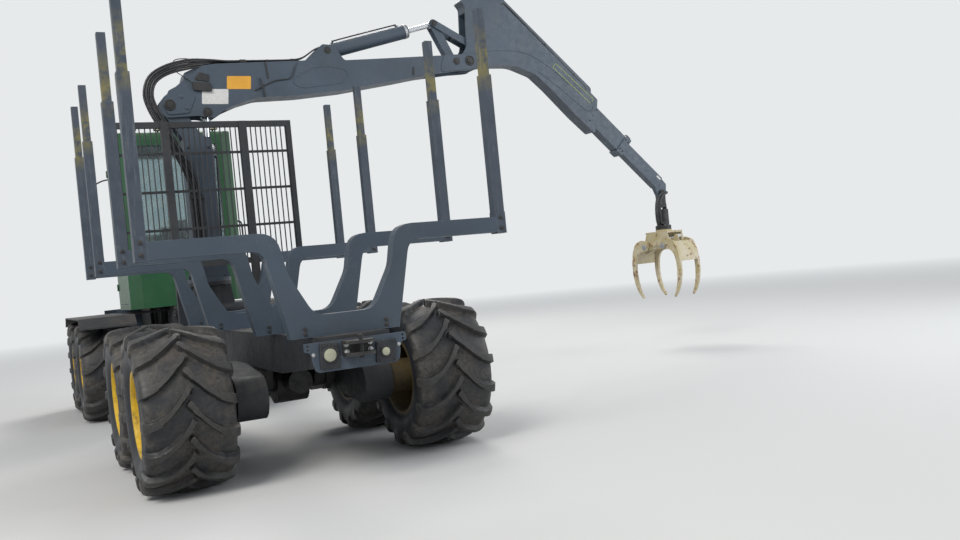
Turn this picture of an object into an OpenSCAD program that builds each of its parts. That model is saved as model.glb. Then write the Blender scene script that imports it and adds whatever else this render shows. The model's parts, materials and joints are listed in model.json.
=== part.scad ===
// Forestry forwarder: articulated eight-wheel timber carrier with a slewed loader crane.
// Machine axes: X to the right, Y forward, Z up from the ground, zero at the centre joint.

/* [Wheels] */
// Overall diameter of a tyre, over its lugs
tire_d = 1340; // [1240:10:1420]
// Overall width of a tyre
tire_w = 730; // [600:10:760]
// Seat diameter of the rim
rim_d = 673; // [600:1:720]
// Lugs round each half of the tread
lug_count = 15; // [12:1:18]
// Height of a lug over the tread
lug_h = 42; // [25:1:55]
// Width of a lug's bar
lug_w = 76; // [60:1:84]
// Distance between the wheel centres across the machine
track = 2270; // [2200:10:2400]
// Distance between the two wheels of a bogie
bogie_spacing = 1500; // [1480:10:1700]
// Radius of a wheel's spindle
spindle_r = 90; // [70:1:110]

/* [Chassis] */
// Front bogie's pivot, ahead of the centre joint
front_bogie = 1850; // [1750:10:2000]
// Rear bogie's pivot, behind the centre joint
rear_bogie = 3850; // [3750:10:4000]
// Width of both frame beams
frame_w = 560; // [480:10:620]
// Underside of the frame beams
frame_bottom = 850; // [820:5:900]
// Top of the frame beams
frame_top = 1180; // [1150:5:1250]
// Rear end of the rear frame, behind the centre joint
tail_back = 5850; // [5750:10:6100]
// Front end of the front frame, ahead of the centre joint
nose_front = 3700; // [3650:10:3900]
// Radius of the centre joint's pin
centre_pin_r = 70; // [50:1:90]

/* [Bunk] */
// Half width over the bolsters
bunk_half = 1490; // [1400:5:1550]
// Underside of the bolster wings
wing_low = 1865; // [1780:5:1900]
// Top of the bolster wings
wing_high = 1995; // [1960:5:2100]
// Lowest point of the log bed
bed_low = 1345; // [1260:5:1400]
// Thickness of a bolster along the machine
bolster_t = 110; // [90:5:180]
// Outside of a stake's square sleeve
sleeve_w = 90; // [80:1:120]
// Top of the sleeves
sleeve_top = 3200; // [2900:10:3400]
// Side of a stake
stake_w = 70; // [60:1:78]
// Top of the stakes
stake_top = 3760; // [3500:10:3780]
// Top of the headboard
headboard_top = 3640; // [3500:10:3830]
// Half width of the headboard
headboard_half = 1060; // [900:10:1150]
// Distance of the headboard behind the centre joint
headboard_back = 1160; // [1120:5:1250]

/* [Cab and engine] */
// Half width of the cab
cab_half = 780; // [740:5:820]
// Underside of the cab
cab_low = 1450; // [1430:5:1500]
// Top of the cab
cab_high = 3870; // [3700:10:3900]
// Rear wall of the cab, ahead of the centre joint
cab_rear = 800; // [780:5:850]
// Front wall of the cab at its floor, ahead of the centre joint
cab_front = 2350; // [2300:5:2380]
// Wall of the cab
cab_wall = 55; // [40:1:70]
// Thickness of the window panes
pane_t = 8; // [6:1:12]
// Half width of the engine hood
hood_half = 600; // [560:5:640]
// Top of the engine hood
hood_high = 2480; // [2400:10:2520]
// Wall of the engine hood
hood_wall = 30; // [20:1:40]
// Front bars of the hood's grille
grille_bars = 9; // [6:1:12]

/* [Crane] */
// Slewing axis of the crane, behind the centre joint
crane_back = 600; // [580:5:620]
// Boom pivot's height over the ground
pivot_high = 3920; // [3880:5:4000]
// Boom pivot's set-back from the slewing axis
pivot_set = 300; // [260:5:340]
// Reach of the inner boom, pivot to pivot
inner_reach = 4200; // [4000:10:4400]
// Rise of the inner boom, pivot to pivot
inner_rise = 610; // [560:5:660]
// Half width of the booms
boom_half = 160; // [145:1:175]
// Thickness of the boom's side plates
boom_plate = 30; // [20:1:32]
// Radius of the boom pivot pins
boom_pin_r = 45; // [35:1:55]
// Angle of the outer boom below level
outer_angle = 43.5; // [40:0.5:46]
// Half width of the outer boom
outer_half = 118; // [110:1:122]
// Height of the first extension
ext1_h = 270; // [230:2:280]
// Height of the second extension
ext2_h = 200; // [160:2:206]
// Free length of the first extension as parked
ext1_out = 720; // [660:5:900]
// Free length of the second extension as parked
ext2_out = 980; // [900:5:1100]
// Outer radius of the lift cylinder
lift_r = 82; // [60:1:88]
// Outer radius of the jib cylinder
jib_r = 95; // [70:1:105]

/* [Grapple] */
// Turn of the rotator as parked
grapple_turn = -75; // [-90:1:-60]
// Drop from the crane's tip pin to the rotator's foot
rotator_drop = 590; // [560:5:650]
// Height of the claws below their hinges
claw_h = 820; // [780:10:880]
// Spread between the two claw hinges
claw_hinges = 360; // [320:5:420]
// Length of the claw hinges over the outer claw's arms
claw_len = 640; // [560:10:720]
// Thickness of a claw's arm
claw_t = 45; // [30:1:60]

/* [Hidden] */
$fn = 48;

tire_r = tire_d / 2;
rim_r = rim_d / 2;
// Height of the axles' centres
axle_z = tire_r + 40;
// Radius of the axle's ends in the bogies
axle_end_r = 105;
// Inner and outer face of the bogie boxes
bogie_in = 430;
bogie_out = 690;
// Outer end of a spindle, from its wheel's centre
spindle_end = 50;
// Gap between parts that are seated on each other
seat_gap = 0.3;
// Radial clearance of a pin in its bore
pin_play = 0.06;
// Side clearance between moving plates
side_gap = 5;
// Small overlap of solids that are one piece
bite = 1;

// Places of the axles, counted from the front
axle_y = [
    front_bogie + bogie_spacing / 2, front_bogie - bogie_spacing / 2,
    -rear_bogie + bogie_spacing / 2, -rear_bogie - bogie_spacing / 2
];
// Bolsters behind the centre joint, from the front
bolster_back = [1510, 2600, tail_back - 1280, tail_back - 220];

// Crane points in its own plane, as reach from the slewing axis and height
pivot = [-pivot_set, pivot_high];
outer_pivot = pivot + [inner_reach, inner_rise];
lift_pin = pivot + [450, -90];
lift_base = [75, 2000];
jib_base = outer_pivot + [-2110, 110];
rocker_pivot = outer_pivot + [-200, -10];
rocker_top = outer_pivot + [-470, 545];
push_end = outer_pivot + [50, 270];
slide_dir = [cos(outer_angle), -sin(outer_angle)];
slide_up = [sin(outer_angle), cos(outer_angle)];
// Middle of the outer boom's mouth
mouth = outer_pivot + [2140, -830];
tip_pin = mouth + (ext1_out + ext2_out) * slide_dir - 80 * slide_up;
rotator_foot = tip_pin[1] - rotator_drop;
claw_hinge_z = rotator_foot - 260;

// Colours
slate = [0.23, 0.29, 0.37];
iron = [0.17, 0.19, 0.22];
green = [0.16, 0.35, 0.2];
cream = [0.76, 0.66, 0.42];

// Centre joint: its height, its lugs, its barrel and the necks beside it
joint_z = (frame_bottom + frame_top) / 2;
joint_lug = 65;
joint_r = 150;
barrel_low = frame_bottom + joint_lug + side_gap;
barrel_high = frame_top - joint_lug - side_gap;
neck_half = 150;
neck_end = 200;
wide_from = 900;
front_wide = 480;
base_half = 330;
base_top = 1720;
column_top = 3530;
// Steering cylinders: base pin and rod's eye, half height of their forks
steer_base = [380, -800];
steer_eye = [330, 170];
steer_fork = 45;
steer_pin_r = 24;
steer_rod_r = 28;
steer_barrel_r = 40;
steer_barrel_len = 610;
// Length of the jib cylinder's barrel
jib_barrel_len = 1280;
// Tail plate's holes and the tow pin
tail_hole_x = 378;
tail_holes_z = [frame_top - 80, frame_top - 50];
tail_hole_r = 9;
tow_pin_r = 18;
// Half widths of the extensions and play at their slides
slide_gap = 0.4;
ext1_half = outer_half - 26;
ext2_half = ext1_half - 24;
tip_half = 40;
link_len = 190;
// Grapple: lever ends over the hinges, half width of the cylinder's eyes, hinge pins and frame
lever = [86, 132];
claw_eye = 36;
claw_eye_r = 34;
claw_pin_r = 28;
frame_half = 205;
// Cab windows and door
win_low = 2220;
win_high = cab_high - 190;
rear_win = cab_half - 220;
screen_low = 2480;
screen_slope = 130;
screen_half = cab_half - 160;
door_y0 = cab_rear + 380;
door_y1 = cab_front - 180;
door_z0 = cab_low + 80;
door_z1 = cab_high - 150;
hinge_z = [door_z0 + 250, door_z1 - 250];
hood_low = cab_low + 40;
// Hood's hinge: its place along the machine and its height
hood_hinge = [nose_front - 60, hood_low + 10];
hinge_x = 250;

// Whole machine's middle, which the file's origin stands under
origin_x = (tip_pin[0] + claw_len / 2 + 54 - max(bunk_half, track / 2 + tire_w / 2)) / 2;
origin_y = (nose_front + 130 - tail_back - 216) / 2;

module machine() {
    translate([-origin_x, -origin_y, 0]) children();
}

// Plate in the upright plane across the machine (X, Z), with thickness t about y
module side_plate(t, y = 0) {
    translate([0, y + t / 2, 0]) rotate([90, 0, 0]) linear_extrude(t) children();
}

// Plate in the upright plane along the machine (Y, Z), with thickness t about x
module long_plate(t, x = 0) {
    translate([x - t / 2, 0, 0]) rotate([90, 0, 90]) linear_extrude(t) children();
}

// Box from its low corner to its high corner
module span(low, high) {
    translate(low) cube(high - low);
}

// Round bar across the crane's plane at a point of that plane
module cross_pin(p, r, half, y = 0) {
    translate([p[0], y + half, p[1]]) rotate([90, 0, 0]) cylinder(r = r, h = 2 * half);
}

// Round bar between two points of the crane's plane
module plane_rod(a, b, r) {
    d = b - a;
    translate([a[0], 0, a[1]]) rotate([0, atan2(d[0], d[1]), 0]) cylinder(r = r, h = norm(d));
}

module crane_plane() {
    machine() translate([0, -crane_back, 0]) children();
}

// Point at s along and t across the outer boom's slide from its mouth
function on_slide(s, t) = mouth + s * slide_dir + t * slide_up;

// Both corners of a list of half-profile points, mirrored about x = 0
function mirrored(p) = concat(p, [for (i = [len(p) - 1 : -1 : 0]) [-p[i][0], p[i][1]]]);

// The same for a list of rows [x, height, corner radius]
function mirrored_rows(rows) = concat(rows, [
    for (i = [len(rows) - 1 : -1 : 0]) [-rows[i][0], rows[i][1], rows[i][2]]
]);

// Corner i of a list of rows, counted round its outline
function corner(rows, i) = let (row = rows[(i + len(rows)) % len(rows)]) [row[0], row[1]];

// Outline of rows [x, height, corner radius]: a corner with a radius becomes a curve in that many
// steps that touches both of its edges
function soft(rows, steps = 4) = [for (i = [0 : len(rows) - 1]) let (
    p = corner(rows, i),
    a = corner(rows, i - 1) - p,
    b = corner(rows, i + 1) - p,
    half = acos(max(-1, min(1, a * b / norm(a) / norm(b)))) / 2,
    reach = rows[i][2] == 0 ? 0 : min(rows[i][2] / tan(half), 0.45 * min(norm(a), norm(b)))
) each reach == 0 ? [p] : [for (k = [0 : steps])
    p + reach * (pow(1 - k / steps, 2) * a / norm(a) + pow(k / steps, 2) * b / norm(b))]];

// A tyre is one skin: each side has a ring at the lugs' inner ends, one at the shoulder, one at
// the widest place of the wall and one at the bead. A lug takes four points of the first two
// rings: low, high, high, low. The right side's lugs stand half a pitch from the left side's.
lug_pitch = 360 / lug_count;
lug_half_angle = asin(lug_w * 0.62 / tire_r);
lug_wall_angle = 0.5;
lug_sweep = 21;
ring_c = 0;
ring_s = 4 * lug_count;
ring_w = 8 * lug_count;
ring_b = 10 * lug_count;
ring_all = 11 * lug_count;

function polar(r, a, z) = [r * cos(a), r * sin(a), z];

// Columns of a lug as [angle from its middle, 1 where it is high]
lug_columns = [
    [-lug_half_angle - lug_wall_angle, 0], [-lug_half_angle, 1],
    [lug_half_angle, 1], [lug_half_angle + lug_wall_angle, 0]
];

// Points of one side of the tyre, from its lugs' inner ends to its bead
function tire_side(side) = let (
    low_r = tire_r - lug_h,
    start = side > 0 ? lug_pitch / 2 : 0,
    top_r = tire_r / cos(lug_half_angle)
) concat(
    [for (i = [0 : lug_count - 1], c = lug_columns)
        polar(c[1] > 0 ? top_r : low_r, i * lug_pitch + start + c[0], side * 14)],
    [for (i = [0 : lug_count - 1], c = lug_columns)
        polar((c[1] > 0 ? top_r : low_r) - 18, i * lug_pitch + start + lug_sweep + c[0],
            side * (tire_w / 2 - 28))],
    [for (i = [0 : 2 * lug_count - 1])
        polar(rim_r + 190, i * lug_pitch / 2 + start + lug_sweep, side * tire_w / 2)],
    [for (i = [0 : lug_count - 1])
        polar((rim_r + seat_gap) / cos(lug_pitch / 2), i * lug_pitch + start + lug_sweep, side * 290)]
);

// Number of point i of a ring, on the left (0) or right (1) side
function at_ring(side, ring, i) = side * ring_all + ring
    + i % (ring == ring_w ? 2 * lug_count : ring == ring_b ? lug_count : 4 * lug_count);

function turned(face, side) = side > 0 ? face : [face[2], face[1], face[0]];

// Faces of one side: lugs, shoulder, wall
function side_faces(side) = let (
    c = function (i) at_ring(side, ring_c, i),
    s = function (i) at_ring(side, ring_s, i),
    w = function (i) at_ring(side, ring_w, i),
    b = function (i) at_ring(side, ring_b, i)
) concat(
    [for (i = [0 : 4 * lug_count - 1], f = [[c(i), s(i), s(i + 1)], [c(i), s(i + 1), c(i + 1)]])
        turned(f, side)],
    [for (i = [0 : lug_count - 1], f = [
        [s(4 * i), w(2 * i), s(4 * i + 1)], [s(4 * i + 1), w(2 * i), s(4 * i + 2)],
        [s(4 * i + 2), w(2 * i), s(4 * i + 3)], [s(4 * i + 3), w(2 * i), w(2 * i + 1)],
        [s(4 * i + 3), w(2 * i + 1), s(4 * i + 4)], [s(4 * i + 4), w(2 * i + 1), w(2 * i + 2)],
        [w(2 * i), b(i), w(2 * i + 1)], [w(2 * i + 1), b(i), b(i + 1)],
        [w(2 * i + 1), b(i + 1), w(2 * i + 2)]
    ]) turned(f, side)]
);

// Faces between the sides: the tread's middle, and the seat inside
function middle_faces() = let (
    l = function (i) at_ring(0, ring_c, i),
    r = function (i) at_ring(1, ring_c, i),
    bl = function (i) at_ring(0, ring_b, i),
    br = function (i) at_ring(1, ring_b, i)
) [for (i = [1 : lug_count], f = [
    [l(4 * i), r(4 * i - 1), l(4 * i + 1)], [l(4 * i + 1), r(4 * i - 1), l(4 * i + 2)],
    [l(4 * i + 2), r(4 * i - 1), l(4 * i + 3)], [l(4 * i + 3), r(4 * i - 1), r(4 * i)],
    [l(4 * i + 3), r(4 * i), r(4 * i + 1)], [l(4 * i + 3), r(4 * i + 1), r(4 * i + 2)],
    [l(4 * i + 3), r(4 * i + 2), r(4 * i + 3)], [l(4 * i + 3), r(4 * i + 3), l(4 * i + 4)],
    [br(i), bl(i + 1), br(i + 1)], [br(i + 1), bl(i + 1), bl(i + 2)]
]) f];

module tire_shape() {
    color([0.09, 0.09, 0.1]) rotate([0, 90, 0])
        polyhedron(
            concat(tire_side(-1), tire_side(1)),
            concat(side_faces(0), side_faces(1), middle_faces())
        );
}

module tire(side, axle) {
    machine() translate([side * track / 2, axle_y[axle - 1], tire_r]) tire_shape();
}

// Rim with its dished disc; the hub turns on the bogie's spindle
module rim(side, axle) {
    disc_in = 16;
    disc_out = 40;
    hub_r = spindle_r + 60;
    hub_in = bogie_out + side_gap - track / 2;
    hub_out = 100;
    machine() translate([side * track / 2, axle_y[axle - 1], tire_r]) rotate([0, side * 90, 0])
    color([0.85, 0.68, 0.12]) union() {
        rotate_extrude($fn = 72) polygon([
            [rim_r, -291], [rim_r + 24, -310], [rim_r + 24, -322], [rim_r - 4, -322],
            [rim_r - 16, -300], [rim_r - 40, -150], [rim_r - 40, 150], [rim_r - 16, 300],
            [rim_r - 4, 322], [rim_r + 24, 322], [rim_r + 24, 310], [rim_r, 291]
        ]);
        translate([0, 0, disc_in]) difference() {
            cylinder(r = rim_r - 30, h = disc_out - disc_in);
            translate([0, 0, -bite]) cylinder(r = hub_r - 5, h = disc_out - disc_in + 2 * bite);
        }
        difference() {
            translate([0, 0, hub_in]) cylinder(r = hub_r, h = hub_out - hub_in);
            translate([0, 0, hub_in - bite])
                cylinder(r = spindle_r + pin_play, h = spindle_end + side_gap - hub_in + bite);
        }
        translate([0, 0, hub_out - bite]) cylinder(r = 0.72 * hub_r, h = 45);
    }
}

// Bogie boxes carry a spindle at each end and hang on the axle's ends
module bogie_pair(y) {
    wheel_z = tire_r;
    end_r = 190;
    for (side = [-1, 1]) {
        long_plate(bogie_out - bogie_in, side * (bogie_in + bogie_out) / 2) difference() {
            union() {
                for (end = [-1, 1]) translate([y + end * bogie_spacing / 2, wheel_z]) circle(r = end_r);
                polygon(soft([
                    [y - bogie_spacing / 2, wheel_z - end_r, 0], [y - 230, wheel_z - 130, 200],
                    [y + 230, wheel_z - 130, 200], [y + bogie_spacing / 2, wheel_z - end_r, 0],
                    [y + bogie_spacing / 2, wheel_z + end_r, 0], [y + 240, axle_z + 215, 250],
                    [y - 240, axle_z + 215, 250], [y - bogie_spacing / 2, wheel_z + end_r, 0]
                ]));
            }
            translate([y, axle_z]) circle(r = axle_end_r + pin_play);
        }
        for (end = [-1, 1]) translate([side * (bogie_out - bite), y + end * bogie_spacing / 2, wheel_z])
            rotate([0, side * 90, 0]) {
                cylinder(r = spindle_r, h = track / 2 + spindle_end - bogie_out + bite);
                cylinder(r = spindle_r + 45, h = 1 + bite);
            }
    }
}

// Axle with its final drive in the middle and a saddle up to the frame beam
module axle_beam(y) {
    translate([-bogie_out + 30, y, axle_z]) rotate([0, 90, 0])
        cylinder(r = axle_end_r, h = 2 * (bogie_out - 30));
    for (side = [-1, 1]) translate([side * (bogie_in - 70) - 32, y, axle_z]) rotate([0, 90, 0])
        cylinder(r = axle_end_r + 45, h = 64);
    translate([-150, y, axle_z - 40]) rotate([0, 90, 0]) cylinder(r = 175, h = 300);
    translate([0, y - 420, axle_z]) rotate([-90, 0, 0]) cylinder(r = 110, h = 840);
    for (side = [-1, 1]) long_plate(60, side * (frame_w / 2 - 50)) polygon([
        [y - 260, frame_bottom], [y - 170, axle_z - 60], [y + 170, axle_z - 60], [y + 260, frame_bottom]
    ]);
}

module rear_axle() {
    machine() color(iron) axle_beam(-rear_bogie);
}

module front_axle() {
    machine() color(iron) axle_beam(front_bogie);
}

module rear_bogies() {
    machine() color(slate) bogie_pair(-rear_bogie);
}

module front_bogies() {
    machine() color(slate) bogie_pair(front_bogie);
}

// Frame beam of the load carrier, its neck, and the fork of the centre joint
module rear_frame() {
    machine() color(slate) {
        long_plate(frame_w) polygon([
            [-tail_back, frame_bottom + 110], [-tail_back, frame_top], [-wide_from, frame_top],
            [-wide_from, frame_bottom], [-rear_bogie - 900, frame_bottom]
        ]);
        span([-neck_half, -wide_from - bite, frame_bottom], [neck_half, -neck_end, frame_top]);
        span([-base_half, -wide_from - bite, frame_top - 30], [base_half, -neck_end - 80, frame_top]);
        for (z = [frame_bottom, frame_top - joint_lug]) translate([0, 0, z]) linear_extrude(joint_lug) {
            circle(r = joint_r + 20);
            translate([-neck_half, -neck_end - bite]) square([2 * neck_half, neck_end]);
        }
        translate([0, 0, frame_bottom]) cylinder(r = centre_pin_r, h = frame_top - frame_bottom);
        for (side = [-1, 1]) {
            for (z = [joint_z - steer_fork - 20, joint_z + steer_fork]) translate([0, 0, z])
                linear_extrude(20) polygon([
                    [side * (frame_w / 2 - bite), -wide_from],
                    [side * (frame_w / 2 - bite), -wide_from - 160],
                    [side * (steer_base[0] + 20), -wide_from - 90], [side * (steer_base[0] + 50), steer_base[1]],
                    [side * (steer_base[0] + 25), steer_base[1] + 45],
                    [side * (steer_base[0] - 25), steer_base[1] + 45]
                ]);
            translate([side * steer_base[0], steer_base[1], joint_z - steer_fork - 20])
                cylinder(r = steer_pin_r, h = 2 * steer_fork + 40);
        }
    }
}

// Beam under the cab and engine, with the centre joint's barrel and the cab's mounts
module front_frame() {
    machine() color(slate) {
        long_plate(frame_w) polygon([
            [front_wide, frame_bottom], [front_wide, frame_top], [nose_front, frame_top],
            [nose_front, frame_bottom + 60], [nose_front - 300, frame_bottom]
        ]);
        difference() {
            union() {
                translate([0, 0, barrel_low]) cylinder(r = joint_r, h = barrel_high - barrel_low);
                span([-joint_r + 20, 0, barrel_low], [joint_r - 20, front_wide + bite, barrel_high]);
            }
            translate([0, 0, barrel_low - bite])
                cylinder(r = centre_pin_r + pin_play, h = barrel_high - barrel_low + 2 * bite);
        }
        for (side = [-1, 1], z = [joint_z - steer_fork - 20, joint_z + steer_fork]) translate([0, 0, z])
            linear_extrude(20) polygon([
                [side * (joint_r - 40), steer_eye[1] - 70],
                [side * (steer_eye[0] + 10), steer_eye[1] - 50],
                [side * (steer_eye[0] + 50), steer_eye[1] - 15],
                [side * (steer_eye[0] + 50), steer_eye[1] + 15],
                [side * (steer_eye[0] + 10), steer_eye[1] + 50],
                [side * (joint_r - 40), steer_eye[1] + 130]
            ]);
        for (side = [-1, 1], y = [cab_rear + 150, cab_front - 200])
            translate([side * (frame_w / 2 - 60), y, frame_top - bite])
                cylinder(r = 50, h = cab_low - frame_top + bite - seat_gap);
        for (side = [-1, 1]) {
            long_plate(30, side * hinge_x) {
                translate(hood_hinge) circle(r = 34);
                polygon([
                    hood_hinge + [-34, 0], hood_hinge + [0, -34],
                    [nose_front - 100, frame_top - bite], [nose_front - 210, frame_top - bite]
                ]);
            }
            translate([side * hinge_x, hood_hinge[0], hood_hinge[1]]) rotate([0, side * 90, 0])
                cylinder(r = 15, h = 45);
        }
    }
}

module steer_barrel(side) {
    machine() color(slate) steer_frame(side) difference() {
        union() {
            cylinder(r = 44, h = 2 * steer_fork - 2 * side_gap, center = true);
            rotate([-90, 0, 0]) cylinder(r = steer_barrel_r, h = steer_barrel_len);
        }
        cylinder(r = steer_pin_r + pin_play, h = 3 * steer_fork, center = true);
        translate([0, 70, 0]) rotate([-90, 0, 0])
            cylinder(r = steer_rod_r + pin_play, h = steer_barrel_len);
    }
}

module steer_rod(side) {
    len = norm(steer_eye - steer_base);
    machine() color("silver") steer_frame(side) difference() {
        union() {
            translate([0, len, 0])
                cylinder(r = 42, h = 2 * steer_fork - 2 * side_gap, center = true);
            translate([0, 325, 0]) rotate([-90, 0, 0]) cylinder(r = steer_rod_r, h = len - 325 - 20);
        }
        translate([0, len, 0]) cylinder(r = steer_pin_r, h = 3 * steer_fork, center = true);
    }
}

// Place of a steering cylinder: its base pin, turned so that +Y runs to its rod's eye
module steer_frame(side) {
    d = steer_eye - steer_base;
    translate([side * steer_base[0], steer_base[1], joint_z])
        rotate([0, 0, -side * atan2(d[0], d[1])]) children();
}

module bolsters() {
    half = bunk_half - sleeve_w;
    machine() color(slate) for (back = bolster_back) side_plate(bolster_t, -back)
        polygon(soft(mirrored_rows([
            [440, frame_top, 0], [590, wing_low, 120], [half, wing_low, 0], [half, wing_high, 0],
            [480, wing_high, 170], [420, bed_low + 330, 300], [240, bed_low, 150]
        ]), 5));
}

module stakes() {
    x = bunk_half - sleeve_w / 2;
    machine() color([0.2, 0.24, 0.3]) for (back = bolster_back, side = [-1, 1])
        translate([side * x, -back, 0]) {
            foot = [sleeve_w / 2, bolster_t / 2, 0];
            sleeve = [sleeve_w / 2, sleeve_w / 2, 0];
            stake = [stake_w / 2, stake_w / 2, 0];
            span([0, 0, wing_low - 10] - foot, [0, 0, wing_high + 40] + foot);
            span([0, 0, wing_high] - sleeve, [0, 0, sleeve_top] + sleeve);
            span([0, 0, sleeve_top - bite] - stake, [0, 0, stake_top] + stake);
        }
}

// Gate between the load and the crane: posts, rails and upright bars
module headboard() {
    post_x = 460;
    bar_gap = 62;
    bars = floor((headboard_half - 60) / bar_gap);
    low = 1900;
    machine() translate([0, -headboard_back, 0]) color([0.2, 0.23, 0.28]) union() {
        for (side = [-1, 1])
            span([side * post_x - 45, -40, frame_top], [side * post_x + 45, 40, headboard_top]);
        span([-post_x, -40, frame_top], [post_x, 40, frame_top + 60]);
        for (z = [low, headboard_top - 70])
            span([-headboard_half, -30, z], [headboard_half, 30, z + 70]);
        for (side = [-1, 1])
            span([side * (headboard_half - 30) - 30, -30, low],
                [side * (headboard_half - 30) + 30, 30, headboard_top]);
        for (z = [low + 450, low + 900, low + 1350])
            span([-headboard_half + 40, 4, z], [headboard_half - 40, 24, z + 30]);
        for (i = [-bars : bars])
            span([i * bar_gap - 6, -10, low + 40], [i * bar_gap + 6, 5, headboard_top - 40]);
    }
}

module tail_plate() {
    machine() color(slate) {
        translate([0, -tail_back - 12, 0]) side_plate(24) difference() {
            polygon(soft(mirrored_rows([
                [330, frame_bottom + 75, 60], [350, frame_bottom + 160, 0], [350, frame_top - 135, 30],
                [370, frame_top - 97, 25], [405, frame_top - 95, 15], [405, frame_top - 30, 15]
            ])));
            for (side = [-1, 1], z = tail_holes_z) translate([side * tail_hole_x, z]) circle(r = tail_hole_r);
        }
        for (side = [-1, 1]) translate([side * 220, -tail_back - 24 + bite, frame_top - 130]) rotate([90, 0, 0])
            cylinder(r = 60, h = 20);
    }
}

// Jaw with its upright tow pin
module tow_hitch() {
    back = tail_back + 24;
    low = frame_top - 155;
    high = frame_top - 40;
    plate = 24;
    machine() color(iron) {
        span([-118, -back - 40, low], [118, -back, high]);
        for (z = [low, high - plate]) translate([0, 0, z]) linear_extrude(plate) polygon(soft(mirrored_rows([
            [118, -back - 39, 0], [118, -back - 90, 30], [64, -back - 160, 60]
        ])));
        translate([0, -back - 105, low - 20]) cylinder(r = tow_pin_r, h = high - low + 60);
    }
}

// Slewing base: foot plate, pinion housing and the two rack cylinders
module crane_base() {
    crane_plane() color(slate) {
        span([-base_half + 20, -300, frame_top], [base_half - 20, 300, frame_top + 40]);
        translate([0, 0, frame_top]) cylinder(r = 215, h = base_top - frame_top);
        translate([0, 0, base_top - 45]) cylinder(r = 262, h = 45);
        for (side = [-1, 1]) {
            translate([-430, side * 165, frame_top + 190]) rotate([0, 90, 0]) cylinder(r = 84, h = 860);
            side_plate(24, side * 190) polygon([
                [-280, frame_top + 39], [280, frame_top + 39], [215, base_top - 60], [-215, base_top - 60]
            ]);
        }
    }
}

// Upright column, open towards the boom, with the boom's pivot at the top of its ears
module pillar() {
    plate = 30;
    half = boom_half - boom_plate - side_gap;
    crane_plane() color(slate) {
        translate([0, 0, base_top + seat_gap]) cylinder(r = 262, h = 45);
        for (side = [-1, 1]) side_plate(plate, side * (half - plate / 2)) {
            polygon(soft([
                [-240, base_top + 40, 0], [240, base_top + 40, 0], [170, base_top + 330, 300],
                [170, column_top, 45], [70, column_top, 60], row(pivot + [98, 50], 0), row(pivot, 0),
                row(pivot + [-100, -50], 0), [-170, column_top - 20, 90], [-170, base_top + 330, 300]
            ]));
            translate(pivot) circle(r = 115);
        }
        span([-170, -half, base_top + 40], [-140, half, column_top - 20]);
        span([-170, -half, base_top + 40], [170, half, base_top + 130]);
        cross_pin(pivot, boom_pin_r, boom_half);
        cross_pin(lift_base, 40, half);
    }
}

// Outline of the inner boom's side plates: rows [x, height, corner radius] from the boom pivot, and
// those of its far end from the outer boom's pivot
function boom_outline() = let (e = [inner_reach, inner_rise, 0]) soft(concat(
    [
        [-130, -60, 90], [-50, -152, 90], [350, -130, 200], [510, -162, 120], [670, -60, 200], [860, 20, 300],
        [1100, 90, 500], [1660, 120, 900], [2280, 190, 900]
    ],
    [for (row = [
        [-1100, -280, 300], [-790, -220, 500], [-240, -150, 500], [0, -132, 300], [135, -115, 110],
        [125, 105, 90], [-580, 60, 500], [-1540, 0, 400], [-1885, -20, 60], [-2025, 180, 45],
        [-2175, 190, 45], [-2410, -30, 120]
    ]) e + row],
    [
        [1200, 550, 900], [600, 520, 300], [410, 490, 200], [220, 410, 120], [190, 310, 60], [-80, 90, 120]
    ]
));

module inner_boom() {
    inner = boom_half - boom_plate;
    crane_plane() color(slate) {
        for (side = [-1, 1]) side_plate(boom_plate, side * (boom_half - boom_plate / 2)) difference() {
            translate(pivot) polygon(boom_outline());
            translate(pivot) circle(r = boom_pin_r + pin_play);
        }
        side_plate(2 * inner + 2 * bite) translate(pivot) polygon([
            [720, -32], [860, 20], [1100, 90], [1660, 120], [2280, 190],
            [inner_reach - 1100, inner_rise - 280], [inner_reach - 640, inner_rise - 200],
            [inner_reach - 640, inner_rise + 55], [inner_reach - 1540, inner_rise],
            [inner_reach - 1900, inner_rise - 20], [inner_reach - 2410, inner_rise - 30], [1200, 550], [720, 525]
        ]);
        side_plate(2 * inner + 2 * bite) translate(pivot) polygon([
            [190, 310], [220, 410], [410, 490], [721, 525], [721, 495], [425, 462], [240, 388], [210, 310]
        ]);
        for (side = [-1, 1])
            cross_pin(lift_pin, 38, (inner - 46) / 2 + bite / 2, side * (inner + 46 + bite) / 2);
        cross_pin(jib_base, 30, inner + bite);
        cross_pin(rocker_pivot, 30, inner + bite);
        cross_pin(outer_pivot, boom_pin_r, inner + bite);
    }
}

// Cylinder barrel in the crane's plane from its base eye towards a point
module plane_barrel(base, aim, r, rod_r, len, eye_r, eye_half, pin_r, bore_from) {
    d = (aim - base) / norm(aim - base);
    difference() {
        union() {
            plane_rod(base, base + len * d, r);
            cross_pin(base, eye_r, eye_half);
        }
        cross_pin(base, pin_r + pin_play, r + eye_half);
        plane_rod(base + bore_from * d, base + (len + 10) * d, rod_r + pin_play);
    }
}

// Piston rod in the crane's plane with its eye at a point
module plane_piston(base, eye, from, rod_r, eye_r, eye_half, pin_r) {
    d = (eye - base) / norm(eye - base);
    difference() {
        union() {
            plane_rod(base + from * d, eye - 20 * d, rod_r);
            cross_pin(eye, eye_r, eye_half);
        }
        cross_pin(eye, pin_r, 2 * eye_half);
    }
}

module lift_barrel() {
    crane_plane() color(slate) plane_barrel(lift_base, lift_pin, lift_r, 46, 1420, 74, 60, 40, 180);
}

module lift_rod() {
    crane_plane() color("silver") plane_piston(lift_base, lift_pin, 760, 46, 72, 40, 40);
}

module jib_barrel() {
    crane_plane() color(slate) plane_barrel(jib_base, rocker_top, jib_r, 38, jib_barrel_len, 78, 55, 30, 150);
}

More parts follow.
